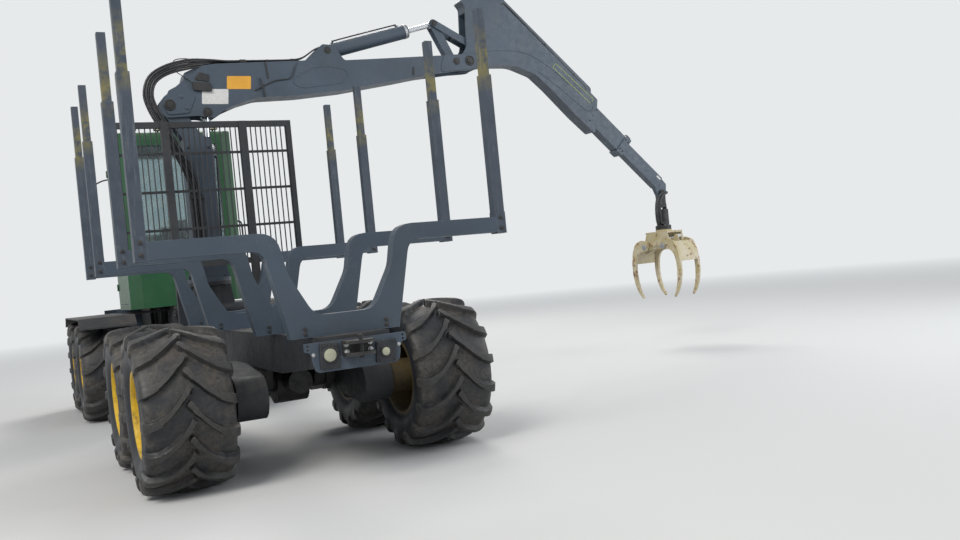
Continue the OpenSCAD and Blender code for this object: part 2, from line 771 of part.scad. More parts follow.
module jib_rod() {
    crane_plane() color("silver") plane_piston(jib_base, rocker_top, 560, 38, 60, 42, 30);
}

// Two plates on the inner boom's end that carry the jib cylinder's rod and the push link
module rocker_link() {
    half = 65;
    t = 18;
    crane_plane() color(slate) difference() {
        union() {
            for (side = [-1, 1])
                side_plate(t, side * (half - t / 2)) bar_plan(rocker_pivot, rocker_top, 55, 62);
            cross_pin(rocker_pivot, 52, half);
            for (side = [-1, 1]) cross_pin(rocker_top, 25, 12.5, side * (half + 11.5));
        }
        cross_pin(rocker_pivot, 30 + pin_play, 2 * half);
    }
}

// Outline of a flat link between two points, with round ends
module bar_plan(a, b, ra, rb) {
    d = (b - a) / norm(b - a);
    n = [-d[1], d[0]];
    translate(a) circle(r = ra);
    translate(b) circle(r = rb);
    polygon([a + ra * n, b + rb * n, b - rb * n, a - ra * n]);
}

module push_link() {
    half = 89;
    t = 18;
    mid = rocker_top + 0.62 * (push_end - rocker_top);
    crane_plane() color(slate) difference() {
        union() {
            for (side = [-1, 1])
                side_plate(t, side * (half - t / 2)) bar_plan(rocker_top, push_end, 50, 48);
            cross_pin(mid, 28, half - 1);
        }
        cross_pin(rocker_top, 25 + pin_play, 2 * half);
    }
}

// Point of the crane's plane with a corner radius
function row(p, r) = [p[0], p[1], r];

// Outline of the outer boom's side plates
function outer_outline() = soft([
    row(outer_pivot + [-128, 30], 60), row(outer_pivot + [0, 210], 200), row(outer_pivot + [35, 800], 90),
    row(outer_pivot + [-30, 880], 25), row(on_slide(-2600, 208), 60), row(on_slide(-150, 228), 40),
    row(on_slide(143, -222), 40), row(on_slide(-289, -236), 200), row(on_slide(-880, -222), 300),
    row(on_slide(-1200, -234), 200), row(outer_pivot + [750, -42], 500), row(outer_pivot + [240, -52], 400),
    row(outer_pivot + [80, -118], 110), row(outer_pivot + [-95, -110], 90)
]);

module outer_boom() {
    plate = 23;
    free = outer_half - plate;
    crane_plane() color(slate) difference() {
        union() {
            side_plate(2 * outer_half) polygon(outer_outline());
            side_plate(130) polygon(soft([
                row(on_slide(-2450, 200), 0), row(on_slide(-2380, 300), 60), row(on_slide(-330, 318), 60),
                row(on_slide(-250, 222), 0)
            ]));
        }
        cross_pin(outer_pivot, boom_pin_r + pin_play, 2 * outer_half);
        side_plate(2 * free) polygon([for (p = [
            [-300, -250], [230, -250], [300, 60], [300, 560], [60, 700], [-300, 900]
        ]) outer_pivot + p]);
        side_plate(2 * (ext1_half + side_gap)) polygon([
            on_slide(-2570, ext1_h / 2 + slide_gap), on_slide(400, ext1_h / 2 + slide_gap),
            on_slide(400, -ext1_h / 2 - slide_gap), on_slide(-2570, -ext1_h / 2 - slide_gap)
        ]);
    }
}

// Square tube along the outer boom's slide, from s0 to s1
module slide_box(s0, s1, h, half) {
    side_plate(2 * half) polygon([
        on_slide(s0, h / 2), on_slide(s1, h / 2), on_slide(s1, -h / 2), on_slide(s0, -h / 2)
    ]);
}

module extension_1() {
    crane_plane() color(slate) difference() {
        union() {
            slide_box(-2050, ext1_out, ext1_h, ext1_half);
            slide_box(ext1_out - 120, ext1_out, ext1_h + 36, ext1_half + 16);
        }
        slide_box(-2060, ext1_out + 10, ext2_h + 2 * slide_gap, ext2_half + side_gap);
    }
}

module extension_2() {
    crane_plane() color(slate) difference() {
        union() {
            slide_box(ext1_out - 1750, ext1_out + ext2_out - 150, ext2_h, ext2_half);
            side_plate(2 * tip_half) polygon([
                on_slide(ext1_out + ext2_out - 160, ext2_h / 2),
                on_slide(ext1_out + ext2_out - 20, ext2_h / 2 - 10),
                tip_pin + [90, 20], tip_pin, tip_pin + [-75, -30],
                on_slide(ext1_out + ext2_out - 160, -ext2_h / 2)
            ]);
            cross_pin(tip_pin, 80, tip_half);
        }
        cross_pin(tip_pin, 25 + pin_play, 2 * tip_half);
    }
}

// Link that hangs on the tip's cross pin and carries the rotator's own swing pin
module tip_link() {
    t = 20;
    crane_plane() color(iron) difference() {
        union() {
            for (side = [-1, 1]) side_plate(t, side * (tip_half + side_gap + t / 2))
                bar_plan(tip_pin, tip_pin - [0, link_len - 30], 52, 46);
            cross_pin(tip_pin, 25, tip_half + side_gap + t);
            translate([tip_pin[0] - 46, -tip_half - side_gap - t, tip_pin[1] - link_len - 45])
                cube([92, 2 * (tip_half + side_gap + t), 90]);
        }
        translate([tip_pin[0] - 60, 0, tip_pin[1] - link_len]) rotate([0, 90, 0])
            cylinder(r = 22 + pin_play, h = 120);
    }
}

module rotator() {
    x = tip_pin[0];
    top = tip_pin[1] - link_len - 75;
    crane_plane() color(iron) {
        for (side = [-1, 1]) {
            long_plate(18, x + side * (46 + side_gap + 9)) {
                translate([0, tip_pin[1] - link_len]) circle(r = 46);
                translate([-46, top - 20]) square([92, 95]);
            }
        }
        translate([x - 46 - side_gap - 18, 0, tip_pin[1] - link_len]) rotate([0, 90, 0])
            cylinder(r = 22, h = 2 * (46 + side_gap + 18));
        translate([x, 0, rotator_foot + 60]) cylinder(r = 100, h = top - rotator_foot - 60);
        translate([x, 0, rotator_foot]) cylinder(r = 125, h = 62);
    }
}

// Grapple axes: the rotator's axis, X across the claw hinges, zero height at the hinges
module grapple_axes() {
    crane_plane() translate([tip_pin[0], 0, claw_hinge_z]) rotate([0, 0, grapple_turn]) children();
}

module grapple_frame() {
    half = claw_hinges / 2;
    top = rotator_foot - claw_hinge_z - seat_gap;
    grapple_axes() color(cream) {
        translate([0, 0, top - 36]) cylinder(r = 128, h = 36);
        span([-half - 30, -frame_half, top - 60], [half + 30, frame_half, top - 30]);
        for (side = [-1, 1]) side_plate(25, side * (frame_half - 12.5)) {
            polygon(soft(mirrored_rows([
                [half - 90, 10, 60], [half, -62, 0], [half + 62, 0, 0], [half + 55, 90, 60],
                [half + 10, top - 32, 50]
            ])));
            for (x = [-half, half]) translate([x, 0]) circle(r = 62);
        }
        for (x = [-half, half]) translate([x, claw_len / 2, 0]) rotate([90, 0, 0])
            cylinder(r = claw_pin_r, h = claw_len);
    }
}

// Outline of a claw's arm, hinge at zero, opening towards +X
function claw_outline() = soft([
    [-66, 5, 50], [-50, 92, 55], [60, 116, 90], [178, 62, 90], [240, -80, 250], [268, -260, 300],
    [268, -430, 350], [238, -600, 350], [180, -740, 250], [112, -claw_h, 0], [104, -claw_h + 20, 0],
    [150, -700, 250], [186, -560, 300], [202, -400, 350], [196, -260, 250], [160, -130, 150],
    [90, -62, 90], [-30, -62, 50]
], 3);

module claw(arm_y) {
    rib = 20;
    difference() {
        union() {
            for (side = [-1, 1]) side_plate(claw_t, side * arm_y) polygon(claw_outline());
            side_plate(2 * arm_y) polygon([
                [172, 58], [240, -80], [268, -260], [250, -262], [222, -85], [158, 42]
            ]);
            side_plate(2 * rib) polygon([
                [-40, -40], [0, 44], lever - [0, 65], [170, 54], [236, -84], [180, -120], [60, -60]
            ]);
            for (side = [-1, 1]) side_plate(rib, side * (claw_eye + side_gap + rib / 2)) {
                polygon([[0, 46], [-10, -45], [170, -60], lever + [56, -70], lever + [34, 10], lever + [-34, 10]]);
                translate(lever) circle(r = claw_eye_r);
            }
            translate([0, frame_half - 25 - side_gap, 0]) rotate([90, 0, 0])
                cylinder(r = 46, h = 2 * (frame_half - 25 - side_gap));
        }
        translate([0, claw_len, 0]) rotate([90, 0, 0])
            cylinder(r = claw_pin_r + pin_play, h = 2 * claw_len);
    }
}

module claw_outer() {
    grapple_axes() color(cream) translate([-claw_hinges / 2, 0, 0]) mirror([1, 0, 0]) {
        claw(claw_len / 2 - claw_t / 2);
        translate([lever[0], claw_eye + side_gap + 20, lever[1]]) rotate([90, 0, 0])
            cylinder(r = 20, h = 2 * (claw_eye + side_gap + 20));
    }
}

module claw_inner() {
    grapple_axes() color(cream) translate([claw_hinges / 2, 0, 0])
        claw(claw_len / 2 - 1.5 * claw_t - side_gap - 3);
}

// Claw cylinder lies across the frame between the claws' levers
module claw_cylinder() {
    grapple_axes() translate([-claw_hinges / 2 - lever[0], 0, lever[1]]) children();
}

module claw_barrel() {
    claw_cylinder() color(iron) difference() {
        union() {
            translate([0, claw_eye, 0]) rotate([90, 0, 0]) cylinder(r = claw_eye_r, h = 2 * claw_eye);
            rotate([0, 90, 0]) cylinder(r = claw_eye, h = 335);
        }
        translate([0, 60, 0]) rotate([90, 0, 0]) cylinder(r = 20 + pin_play, h = 120);
        translate([60, 0, 0]) rotate([0, 90, 0]) cylinder(r = 24 + pin_play, h = 320);
    }
}

module claw_rod() {
    len = claw_hinges + 2 * lever[0];
    claw_cylinder() color("silver") difference() {
        union() {
            translate([len, claw_eye, 0]) rotate([90, 0, 0]) cylinder(r = claw_eye_r, h = 2 * claw_eye);
            translate([215, 0, 0]) rotate([0, 90, 0]) cylinder(r = 24, h = len - 235);
        }
        translate([len, 60, 0]) rotate([90, 0, 0]) cylinder(r = 20, h = 120);
    }
}

module front_guard() {
    y = nose_front;
    machine() color(slate) {
        span([-frame_w / 2, y, frame_bottom + 60], [frame_w / 2, y + 60, frame_top]);
        translate([0, 0, frame_bottom + 40]) linear_extrude(cab_low - frame_bottom - 40) polygon([
            [-880, y - 90], [-880, y - 50], [-700, y + 130], [700, y + 130], [880, y - 50], [880, y - 90],
            [690, y + 59], [-690, y + 59]
        ]);
    }
}

module fenders() {
    out = track / 2 + tire_w / 2 - 10;
    inside = track / 2 - tire_w / 2 + 20;
    low = tire_d + 45;
    rear = front_bogie - bogie_spacing / 2 - tire_r;
    front = front_bogie + bogie_spacing / 2 + tire_r;
    machine() color([0.16, 0.18, 0.2]) for (side = [-1, 1]) {
        long_plate(out - inside, side * (out + inside) / 2) polygon([
            [rear - 30, low - 130], [rear + 110, low], [front - 110, low], [front + 30, low - 130],
            [front + 30, low - 110], [front - 105, low + 14], [rear + 105, low + 14],
            [rear - 30, low - 110]
        ]);
        for (y = [front_bogie - 760, front_bogie, cab_front + 90]) {
            translate([side > 0 ? frame_w / 2 - 60 : -inside - bite, y - 30, low - 2])
                cube([inside - frame_w / 2 + 60 + bite, 60, 14]);
            translate([side * (frame_w / 2 - 30) - 30, y - 30, frame_top + seat_gap])
                cube([60, 60, low - frame_top - seat_gap]);
        }
    }
}

module engine() {
    machine() color([0.25, 0.26, 0.27]) span([-330, cab_front + 150, frame_top], [330, nose_front - 220, 2080]);
}

// Profile of the hood from the side, drawn in by a wall
module hood_side(w) {
    y0 = cab_front + 50;
    y1 = nose_front + 20;
    rear = w > 0 ? y0 - bite : y0;
    low = w > 0 ? hood_low - bite : hood_low;
    polygon(soft([
        [rear, low, 0], [y1 - w, low, 0], [y1 - w, 1950, 150], [y1 - 90 - w, 2240 - w / 2, 200],
        [y1 - 330, hood_high - 60 - w, 250], [rear, hood_high - w, 0]
    ]));
}

module hood() {
    grille_half = hood_half - 150;
    pitch = 2 * grille_half / grille_bars;
    machine() color(green) difference() {
        union() {
            difference() {
                long_plate(2 * hood_half) hood_side(0);
                long_plate(2 * hood_half - 2 * hood_wall) hood_side(hood_wall);
            }
            for (side = [-1, 1]) long_plate(20, side * (hinge_x + 15 + side_gap + 10)) {
                translate(hood_hinge) circle(r = 34);
                polygon([
                    hood_hinge + [0, 34], [nose_front + 20 - hood_wall + bite, hood_hinge[1] + 60],
                    [nose_front + 20 - hood_wall + bite, hood_low], hood_hinge + [0, -10]
                ]);
            }
        }
        translate([-hinge_x - 60, hood_hinge[0], hood_hinge[1]]) rotate([0, 90, 0])
            cylinder(r = 15 + pin_play, h = 2 * hinge_x + 120);
        for (i = [0 : grille_bars - 1])
            span([-grille_half + i * pitch + 12, nose_front - 60, hood_low + 80],
                [-grille_half + (i + 1) * pitch - 12, nose_front + 60, 1900]);
        for (i = [0 : 5]) {
            z = 1800 + i * 70;
            span([-hood_half - 10, cab_front + 250, z], [hood_half + 10, cab_front + 700, z + 35]);
        }
    }
}

// Plan of the cab, drawn in by a wall
module cab_plan(w) {
    polygon(mirrored([
        [cab_half - 150 - w / 2, cab_rear + w], [cab_half - w, cab_rear + 150 + w / 2],
        [cab_half - w, cab_front - 130 - w / 2], [cab_half - 100 - w / 2, cab_front - w]
    ]));
}

// Cab profile from the side, drawn in by a wall
module cab_side(w) {
    polygon(soft([
        [cab_rear + w, cab_low + w, 0], [cab_front - w, cab_low + w, 0], [cab_front - w, screen_low, 0],
        [cab_front - screen_slope - w, cab_high - 90, 0],
        [cab_front - screen_slope - 90 - w, cab_high - w, 60], [cab_rear + w, cab_high - w, 110 - w]
    ]));
}

module cab_form(w) {
    intersection() {
        translate([0, 0, cab_low + w]) linear_extrude(cab_high - cab_low - 2 * w) cab_plan(w);
        long_plate(2 * cab_half) cab_side(w);
    }
}

// Slanted band of the front window, thickness t at depth d behind the front face
module screen_band(t, d, half, low, high) {
    k = screen_slope / (cab_high - 90 - screen_low);
    long_plate(2 * half) polygon([for (p = [[0, low], [0, high], [t, high], [t, low]])
        [cab_front - d - p[0] - (p[1] - screen_low) * k, p[1]]]);
}

// Knuckle and leaf of the door's hinges, from height z upwards, with the leaf towards +Y or -Y
module door_knuckle(z, way) {
    y = door_y1 + side_gap / 2;
    translate([-cab_half - 14, y, z]) cylinder(r = 9, h = 50);
    span([-cab_half - 8, way > 0 ? y : y - 60, z], [-cab_half + bite, way > 0 ? y + 60 : y, z + 50]);
}

module cab_shell() {
    machine() color(green) {
        for (z = hinge_z) door_knuckle(z - 50, 1);
        cab_walls();
    }
}

module cab_walls() {
    difference() {
        cab_form(0);
        cab_form(cab_wall);
        span([-rear_win, cab_rear - 20, win_low], [rear_win, cab_rear + cab_wall + 30, win_high]);
        span([cab_half - cab_wall - 20, cab_rear + 230, win_low], [cab_half + 20, cab_front - 220, win_high]);
        span([-cab_half - 20, door_y0 - side_gap, door_z0 - side_gap],
            [-cab_half + cab_wall + 20, door_y1 + side_gap, door_z1 + side_gap]);
        screen_band(cab_wall + 60, -30, screen_half, screen_low + 60, win_high);
    }
}

module cab_glass() {
    g = seat_gap;
    mid = cab_wall / 2;
    machine() color([0.5, 0.62, 0.66, 0.4]) {
        span([-rear_win + g, cab_rear + mid, win_low + g], [rear_win - g, cab_rear + mid + pane_t, win_high - g]);
        span([cab_half - mid - pane_t, cab_rear + 230 + g, win_low + g],
            [cab_half - mid, cab_front - 220 - g, win_high - g]);
        screen_band(pane_t, mid, screen_half - g, screen_low + 60 + g, win_high - g);
    }
}

module cab_door() {
    machine() color(green) {
        difference() {
            span([-cab_half, door_y0, door_z0], [-cab_half + cab_wall, door_y1, door_z1]);
            span([-cab_half - 10, door_y0 + 90, win_low], [-cab_half + cab_wall + 10, door_y1 - 90, door_z1 - 90]);
        }
        for (z = hinge_z) door_knuckle(z + seat_gap, -1);
    }
}

module door_glass() {
    g = seat_gap;
    machine() color([0.5, 0.62, 0.66, 0.4])
        span([-cab_half + cab_wall / 2, door_y0 + 90 + g, win_low + g],
            [-cab_half + cab_wall / 2 + pane_t, door_y1 - 90 - g, door_z1 - 90 - g]);
}

module seat() {
    floor_z = cab_low + cab_wall;
    y = (cab_rear + cab_front) / 2 - 60;
    machine() color([0.13, 0.13, 0.14]) {
        translate([0, y, floor_z]) cylinder(r = 150, h = 300);
        span([-260, y - 240, floor_z + 299], [260, y + 260, floor_z + 430]);
        long_plate(480) polygon([
            [y - 240, floor_z + 400], [y - 110, floor_z + 400], [y - 190, floor_z + 1160], [y - 290, floor_z + 1160]
        ]);
        for (side = [-1, 1]) span([side * 330 - 71, y - 120, floor_z + 420], [side * 330 + 71, y + 330, floor_z + 520]);
    }
}

rear_frame();
rear_axle();
rear_bogies();
bolsters();
stakes();
headboard();
tail_plate();
tow_hitch();
crane_base();
pillar();
inner_boom();
lift_barrel();
lift_rod();
jib_barrel();
jib_rod();
rocker_link();
push_link();
outer_boom();
extension_1();
extension_2();
tip_link();
rotator();
grapple_frame();
claw_outer();
claw_inner();
claw_barrel();
claw_rod();
front_frame();
front_axle();
front_bogies();
front_guard();
fenders();
engine();
hood();
cab_shell();
cab_glass();
cab_door();
door_glass();
seat();
steer_barrel(-1);  // steer_barrel_left
steer_barrel(1);  // steer_barrel_right
steer_rod(-1);  // steer_rod_left
steer_rod(1);  // steer_rod_right
tire(-1, 1);  // tire_left_1
tire(-1, 2);  // tire_left_2
tire(-1, 3);  // tire_left_3
tire(-1, 4);  // tire_left_4
tire(1, 1);  // tire_right_1
tire(1, 2);  // tire_right_2
tire(1, 3);  // tire_right_3
tire(1, 4);  // tire_right_4
rim(-1, 1);  // rim_left_1
rim(-1, 2);  // rim_left_2
rim(-1, 3);  // rim_left_3
rim(-1, 4);  // rim_left_4
rim(1, 1);  // rim_right_1
rim(1, 2);  // rim_right_2
rim(1, 3);  // rim_right_3
rim(1, 4);  // rim_right_4
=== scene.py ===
import json
import math

import bpy
import numpy as np
from mathutils import Matrix, Vector


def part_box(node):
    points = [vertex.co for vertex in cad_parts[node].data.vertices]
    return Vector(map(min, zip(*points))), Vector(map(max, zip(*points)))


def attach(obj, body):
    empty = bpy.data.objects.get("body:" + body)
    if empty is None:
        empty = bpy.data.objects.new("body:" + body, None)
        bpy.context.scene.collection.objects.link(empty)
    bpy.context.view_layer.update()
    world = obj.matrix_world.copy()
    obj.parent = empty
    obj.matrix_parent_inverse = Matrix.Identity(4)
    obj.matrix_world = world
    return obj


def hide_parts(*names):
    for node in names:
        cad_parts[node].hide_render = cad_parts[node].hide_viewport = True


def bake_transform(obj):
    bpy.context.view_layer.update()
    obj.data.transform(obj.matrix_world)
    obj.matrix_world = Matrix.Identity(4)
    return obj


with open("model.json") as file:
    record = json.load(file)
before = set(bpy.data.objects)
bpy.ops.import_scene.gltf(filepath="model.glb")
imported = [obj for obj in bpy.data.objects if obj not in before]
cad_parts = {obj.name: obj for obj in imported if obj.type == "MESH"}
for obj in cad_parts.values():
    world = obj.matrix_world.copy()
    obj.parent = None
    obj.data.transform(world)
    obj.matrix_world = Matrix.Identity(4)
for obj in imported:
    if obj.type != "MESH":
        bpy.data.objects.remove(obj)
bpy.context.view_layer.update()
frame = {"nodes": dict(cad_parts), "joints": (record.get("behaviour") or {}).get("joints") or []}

# Places that the pieces are set out from, all in metres in the frame of the machine
JOINTS = {j["name"]: j for j in frame["joints"]}
CENTRE = np.array(JOINTS["steer"]["pos_m"])
SLEW = np.array(JOINTS["slew"]["pos_m"])
RIGHT, AHEAD, UP = np.eye(3)
BACK = -AHEAD


def place(x, y, z):
    """Point at x to the right and y ahead of the centre joint, z over the ground."""
    return np.array([CENTRE[0] + x, CENTRE[1] + y, z])


def crane(reach, height, side=0.0):
    """Point of the crane's upright plane; side is towards the front of the machine."""
    return np.array([SLEW[0] + reach, SLEW[1] + side, height])


def corners(node):
    """Lowest and highest corner of a node's box."""
    low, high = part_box(node)
    return np.array(low), np.array(high)


def rear_face(node):
    """Side, from the crane's plane, of the face of one of the crane's nodes that looks back."""
    return corners(node)[0][1] - SLEW[1]


# Surfaces: a shape is an array of points and a list of arrays of faces


def unit(vectors):
    """The vectors, or the one vector, at length 1."""
    return vectors / np.linalg.norm(vectors, axis=-1, keepdims=True)


def quads(numbers):
    """Faces of a grid (rows, cols) of the numbers of its points."""
    sides = [numbers[:-1, :-1], numbers[:-1, 1:], numbers[1:, 1:], numbers[1:, :-1]]
    return np.stack(sides, -1).reshape(-1, 4)


def rings(points, closed=False):
    """Shape of rings of points (rows, cols, 3). The last ring meets the first where it is closed, and
    otherwise a face covers each end."""
    numbers = np.arange(points.shape[0] * points.shape[1]).reshape(points.shape[:2])
    faces = [quads(np.pad(numbers, ((0, int(closed)), (0, 1)), mode="wrap"))]
    if not closed:
        faces += [numbers[:1, ::-1], numbers[-1:]]
    return points.reshape(-1, 3), faces


def joined(*shapes):
    """Several shapes as one."""
    points, faces, count = [], [], 0
    for some_points, some_faces in shapes:
        points.append(some_points)
        faces.extend(face + count for face in some_faces)
        count += len(some_points)
    return np.concatenate(points), faces


def turned(shape, rotation, by=(0, 0, 0)):
    """Shape whose points are turned by a rotation about zero and then moved."""
    return shape[0] @ rotation.T + np.asarray(by), shape[1]


def moved(shape, by):
    """Shape with the same step added to all its points."""
    return shape[0] + np.asarray(by), shape[1]


def aimed(direction):
    """Rotation whose third column is the direction."""
    axis = unit(np.asarray(direction, float))
    first = unit(np.cross(UP if abs(axis[2]) < 0.9 else RIGHT, axis))
    return np.stack([first, np.cross(axis, first), axis], 1)


def curve(points, count):
    """Catmull-Rom curve through the points: each span is the cubic of its four nearest points."""
    points = np.asarray(points, float)
    padded = np.concatenate([[2 * points[0] - points[1]], points, [2 * points[-1] - points[-2]]])
    at = np.linspace(0, len(points) - 1 - 1e-9, count)
    span = at.astype(int)
    t = (at - span)[:, None]
    p0, p1, p2, p3 = (padded[span + k] for k in range(4))
    bend = (2 * p0 - 5 * p1 + 4 * p2 - p3) * t**2 + (3 * p1 - p0 - 3 * p2 + p3) * t**3
    return 0.5 * (2 * p1 + (p2 - p0) * t + bend)


def round_profile(radius, sides):
    """Circle, anticlockwise."""
    turn = np.arange(sides) * 2 * np.pi / sides
    return radius * np.stack([np.cos(turn), np.sin(turn)], 1)


def carried(path, profile, up, scale=1.0):
    """A closed profile (n, 2) carried along a path. At each path point its first axis is the cross
    product of up and the tangent, its second completes the frame, and scale multiplies it there."""
    tangent = unit(np.gradient(path, axis=0))
    first = unit(np.cross(up, tangent))
    second = np.cross(tangent, first)
    offset = profile[None, :, 0, None] * first[:, None] + profile[None, :, 1, None] * second[:, None]
    grow = np.broadcast_to(scale, len(path))
    return rings(path[:, None] + grow[:, None, None] * offset)


def tube(points, radius, sides, count, up=AHEAD):
    """Round bar along the curve through the points."""
    return carried(curve(points, count), round_profile(radius, sides), up)


def spun(profile, steps, closed=False):
    """Profile of (radius, height) turned about the Z axis. Closed where its ends meet."""
    turn = np.arange(steps) * 2 * np.pi / steps
    radius, height = np.asarray(profile, float).T[:, :, None]
    return rings(np.stack([radius * np.cos(turn), radius * np.sin(turn), height + 0 * turn], -1), closed)


def bar(start, end, radius, sides=16):
    """Straight round bar with its ends broken by a small chamfer."""
    start, end = np.asarray(start, float), np.asarray(end, float)
    length = np.linalg.norm(end - start)
    chamfer = min(0.15 * radius, 0.2 * length)
    inner = radius - chamfer
    profile = [(inner, 0), (radius, chamfer), (radius, length - chamfer), (inner, length)]
    return turned(spun(profile, sides), aimed(end - start), start)


def inset(outline, by):
    """The outline drawn in by a distance: each corner moves along the sum of its edges' normals."""
    before = unit(outline - np.roll(outline, 1, 0))
    after = unit(np.roll(outline, -1, 0) - outline)
    both = before + after
    normal = np.stack([-both[:, 1], both[:, 0]], 1)
    spread = np.maximum(1 + (before * after).sum(1, keepdims=True), 0.35)
    return outline + by * normal / spread


def stacked(levels):
    """Rings of points from pairs of an outline and its height."""
    return np.stack([np.column_stack([outline, np.full(len(outline), z)]) for outline, z in levels])


def slab(outline, thickness, edge):
    """Anticlockwise outline raised along Z by a thickness, with both rims bevelled."""
    outline = np.asarray(outline, float)
    drawn = inset(outline, edge)
    return rings(stacked([(drawn, 0), (outline, edge), (outline, thickness - edge), (drawn, thickness)]))


def border(outline, width, depth):
    """Frame of a width that follows a closed outline in the XY plane, raised by a depth."""
    inner = inset(outline, width)
    return rings(stacked([(outline, 0), (outline, depth), (inner, depth), (inner, 0)]), closed=True)


def rounded(points, radius, steps=4):
    """Outline whose corners are replaced by quadratic curves that touch both edges, with the old corner
    as each curve's middle control point."""
    points = np.asarray(points, float)
    ways = [np.roll(points, shift, 0) - points for shift in (1, -1)]
    shorter = np.minimum(*(np.linalg.norm(way, axis=1, keepdims=True) for way in ways))
    before, after = (unit(way) for way in ways)
    half = np.arccos(np.clip((before * after).sum(1, keepdims=True), -1, 1)) / 2
    reach = np.minimum(radius / np.tan(half), 0.45 * shorter)
    arcs = (points + reach * before, points, points + reach * after)
    start, corner, end = (spots[:, None] for spots in arcs)
    t = np.linspace(0, 1, steps + 1)[:, None]
    return ((1 - t) ** 2 * start + 2 * t * (1 - t) * corner + t**2 * end).reshape(-1, 2)


def pane(width, height, radius):
    """Rounded rectangle about zero."""
    return rounded(np.array([[-1, -1], [1, -1], [1, 1], [-1, 1]]) * [width / 2, height / 2], radius)


def block(low, high, edge, round_by=0.0):
    """Box between two corners with bevelled edges, and its upright corners rounded where asked."""
    low, high = np.minimum(low, high), np.maximum(low, high)
    outline = np.array([[0, 0], [1, 0], [1, 1], [0, 1]]) * (high - low)[:2]
    if round_by:
        outline = rounded(outline, round_by)
    return moved(slab(outline, high[2] - low[2], edge), low)


def bolt(size):
    """Hexagon head with chamfered rim on a washer, pointing along Z."""
    washer = spun([[1.25 * size, 0], [1.25 * size, 0.18 * size], [1.1 * size, 0.22 * size]], 14)
    return joined(washer, moved(slab(round_profile(size, 6), 0.75 * size, 0.12 * size), [0, 0, 0.2 * size]))


def bolts(spots, direction, size):
    """The bolt once at each spot, as one shape."""
    one = turned(bolt(size), aimed(direction))
    return joined(*(moved(one, spot) for spot in spots))


def bolt_ring(centre, direction, radius, count, size, start=0.0):
    """Bolts spread evenly on a circle about a direction, from a start angle."""
    turn = start + np.arange(count) * 2 * np.pi / count
    flat = np.stack([radius * np.cos(turn), radius * np.sin(turn), np.zeros(count)], 1)
    return bolts(flat @ aimed(direction).T + centre, direction, size)


# Finishes


class Tree:
    """Short way to add and wire the nodes of a material, group or world."""

    def __init__(self, tree):
        self.nodes, self.links = tree.nodes, tree.links
        self.coordinates = None

    def feed(self, node, inputs):
        """Links or sets a node's inputs, given by name or number."""
        for name, value in inputs.items():
            if isinstance(value, bpy.types.NodeSocket):
                self.links.new(value, node.inputs[name])
            else:
                node.inputs[name].default_value = value

    def add(self, kind, inputs=None, **settings):
        """New node with its settings made and its inputs fed."""
        node = self.nodes.new(kind)
        for name, value in settings.items():
            setattr(node, name, value)
        self.feed(node, inputs or {})
        return node

    def find(self, kind):
        """First node of a type."""
        return next(node for node in self.nodes if node.type == kind)

    def spot(self, kind="Object"):
        """Coordinates of the point: by default those in the machine's frame."""
        if self.coordinates is None:
            self.coordinates = self.add("ShaderNodeTexCoord").outputs
        return self.coordinates[kind]

    def axis(self, vector, name):
        """One coordinate of a vector, by its letter."""
        return self.add("ShaderNodeSeparateXYZ", {0: vector}).outputs[name]

    def noise(self, scale, detail=4.0, rough=0.55, at=None):
        """Noise from 0 to 1 over the machine's frame, or over other coordinates."""
        at = self.spot() if at is None else at
        settings = {"Vector": at, "Scale": scale, "Detail": detail, "Roughness": rough}
        return self.add("ShaderNodeTexNoise", settings).outputs["Fac"]

    def ramp(self, value, low, high, to_low=0.0, to_high=1.0):
        """Straight line from to_low at low to to_high at high, level beyond both."""
        settings = {"Value": value, "From Min": low, "From Max": high, "To Min": to_low, "To Max": to_high}
        return self.add("ShaderNodeMapRange", settings, clamp=True).outputs["Result"]

    def patches(self, scale, detail, rough, low, high):
        """Noise, from 0 at its level low to 1 at its level high."""
        return self.ramp(self.noise(scale, detail, rough), low, high)

    def math(self, operation, a, b=0.0):
        """Two numbers joined by an operation."""
        return self.add("ShaderNodeMath", {0: a, 1: b}, operation=operation).outputs[0]

    def times(self, first, *others):
        """Product of the factors."""
        for other in others:
            first = self.math("MULTIPLY", first, other)
        return first

    def blend(self, amount, a, b):
        """Colour a passing into b by an amount. Each is an output or a (red, green, blue)."""
        a, b = (value if isinstance(value, bpy.types.NodeSocket) else (*value, 1) for value in (a, b))
        return self.add("ShaderNodeMix", {0: amount, 6: a, 7: b}, data_type="RGBA").outputs[2]


def group(name, inputs, mask_of):
    """Shader group with number inputs, whose mask is mask_of(tree, inputs) times its Amount."""
    made = bpy.data.node_groups.new(name, "ShaderNodeTree")
    for label, value in inputs.items():
        made.interface.new_socket(label, in_out="INPUT", socket_type="NodeSocketFloat").default_value = value
    made.interface.new_socket("Mask", in_out="OUTPUT", socket_type="NodeSocketFloat")
    tree = Tree(made)
    given = tree.add("NodeGroupInput").outputs
    tree.add("NodeGroupOutput", {"Mask": tree.times(mask_of(tree, given), given["Amount"])})
    return made


def worn_edges(tree, given):
    """Where a rounded normal leaves the face's own, broken up by noise."""
    round_normal = tree.add("ShaderNodeBevel", {"Radius": given["Width"]}, samples=4).outputs[0]
    own = tree.add("ShaderNodeNewGeometry").outputs["Normal"]
    product = tree.add("ShaderNodeVectorMath", {0: round_normal, 1: own}, operation="DOT_PRODUCT")
    edge = tree.ramp(product.outputs["Value"], 0.985, 0.82)
    patches = tree.patches(9.0, 6.0, 0.7, 0.62, 0.4)
    chips = tree.patches(70.0, 3.0, 0.55, 0.62, 0.45)
    return tree.times(edge, patches, chips)


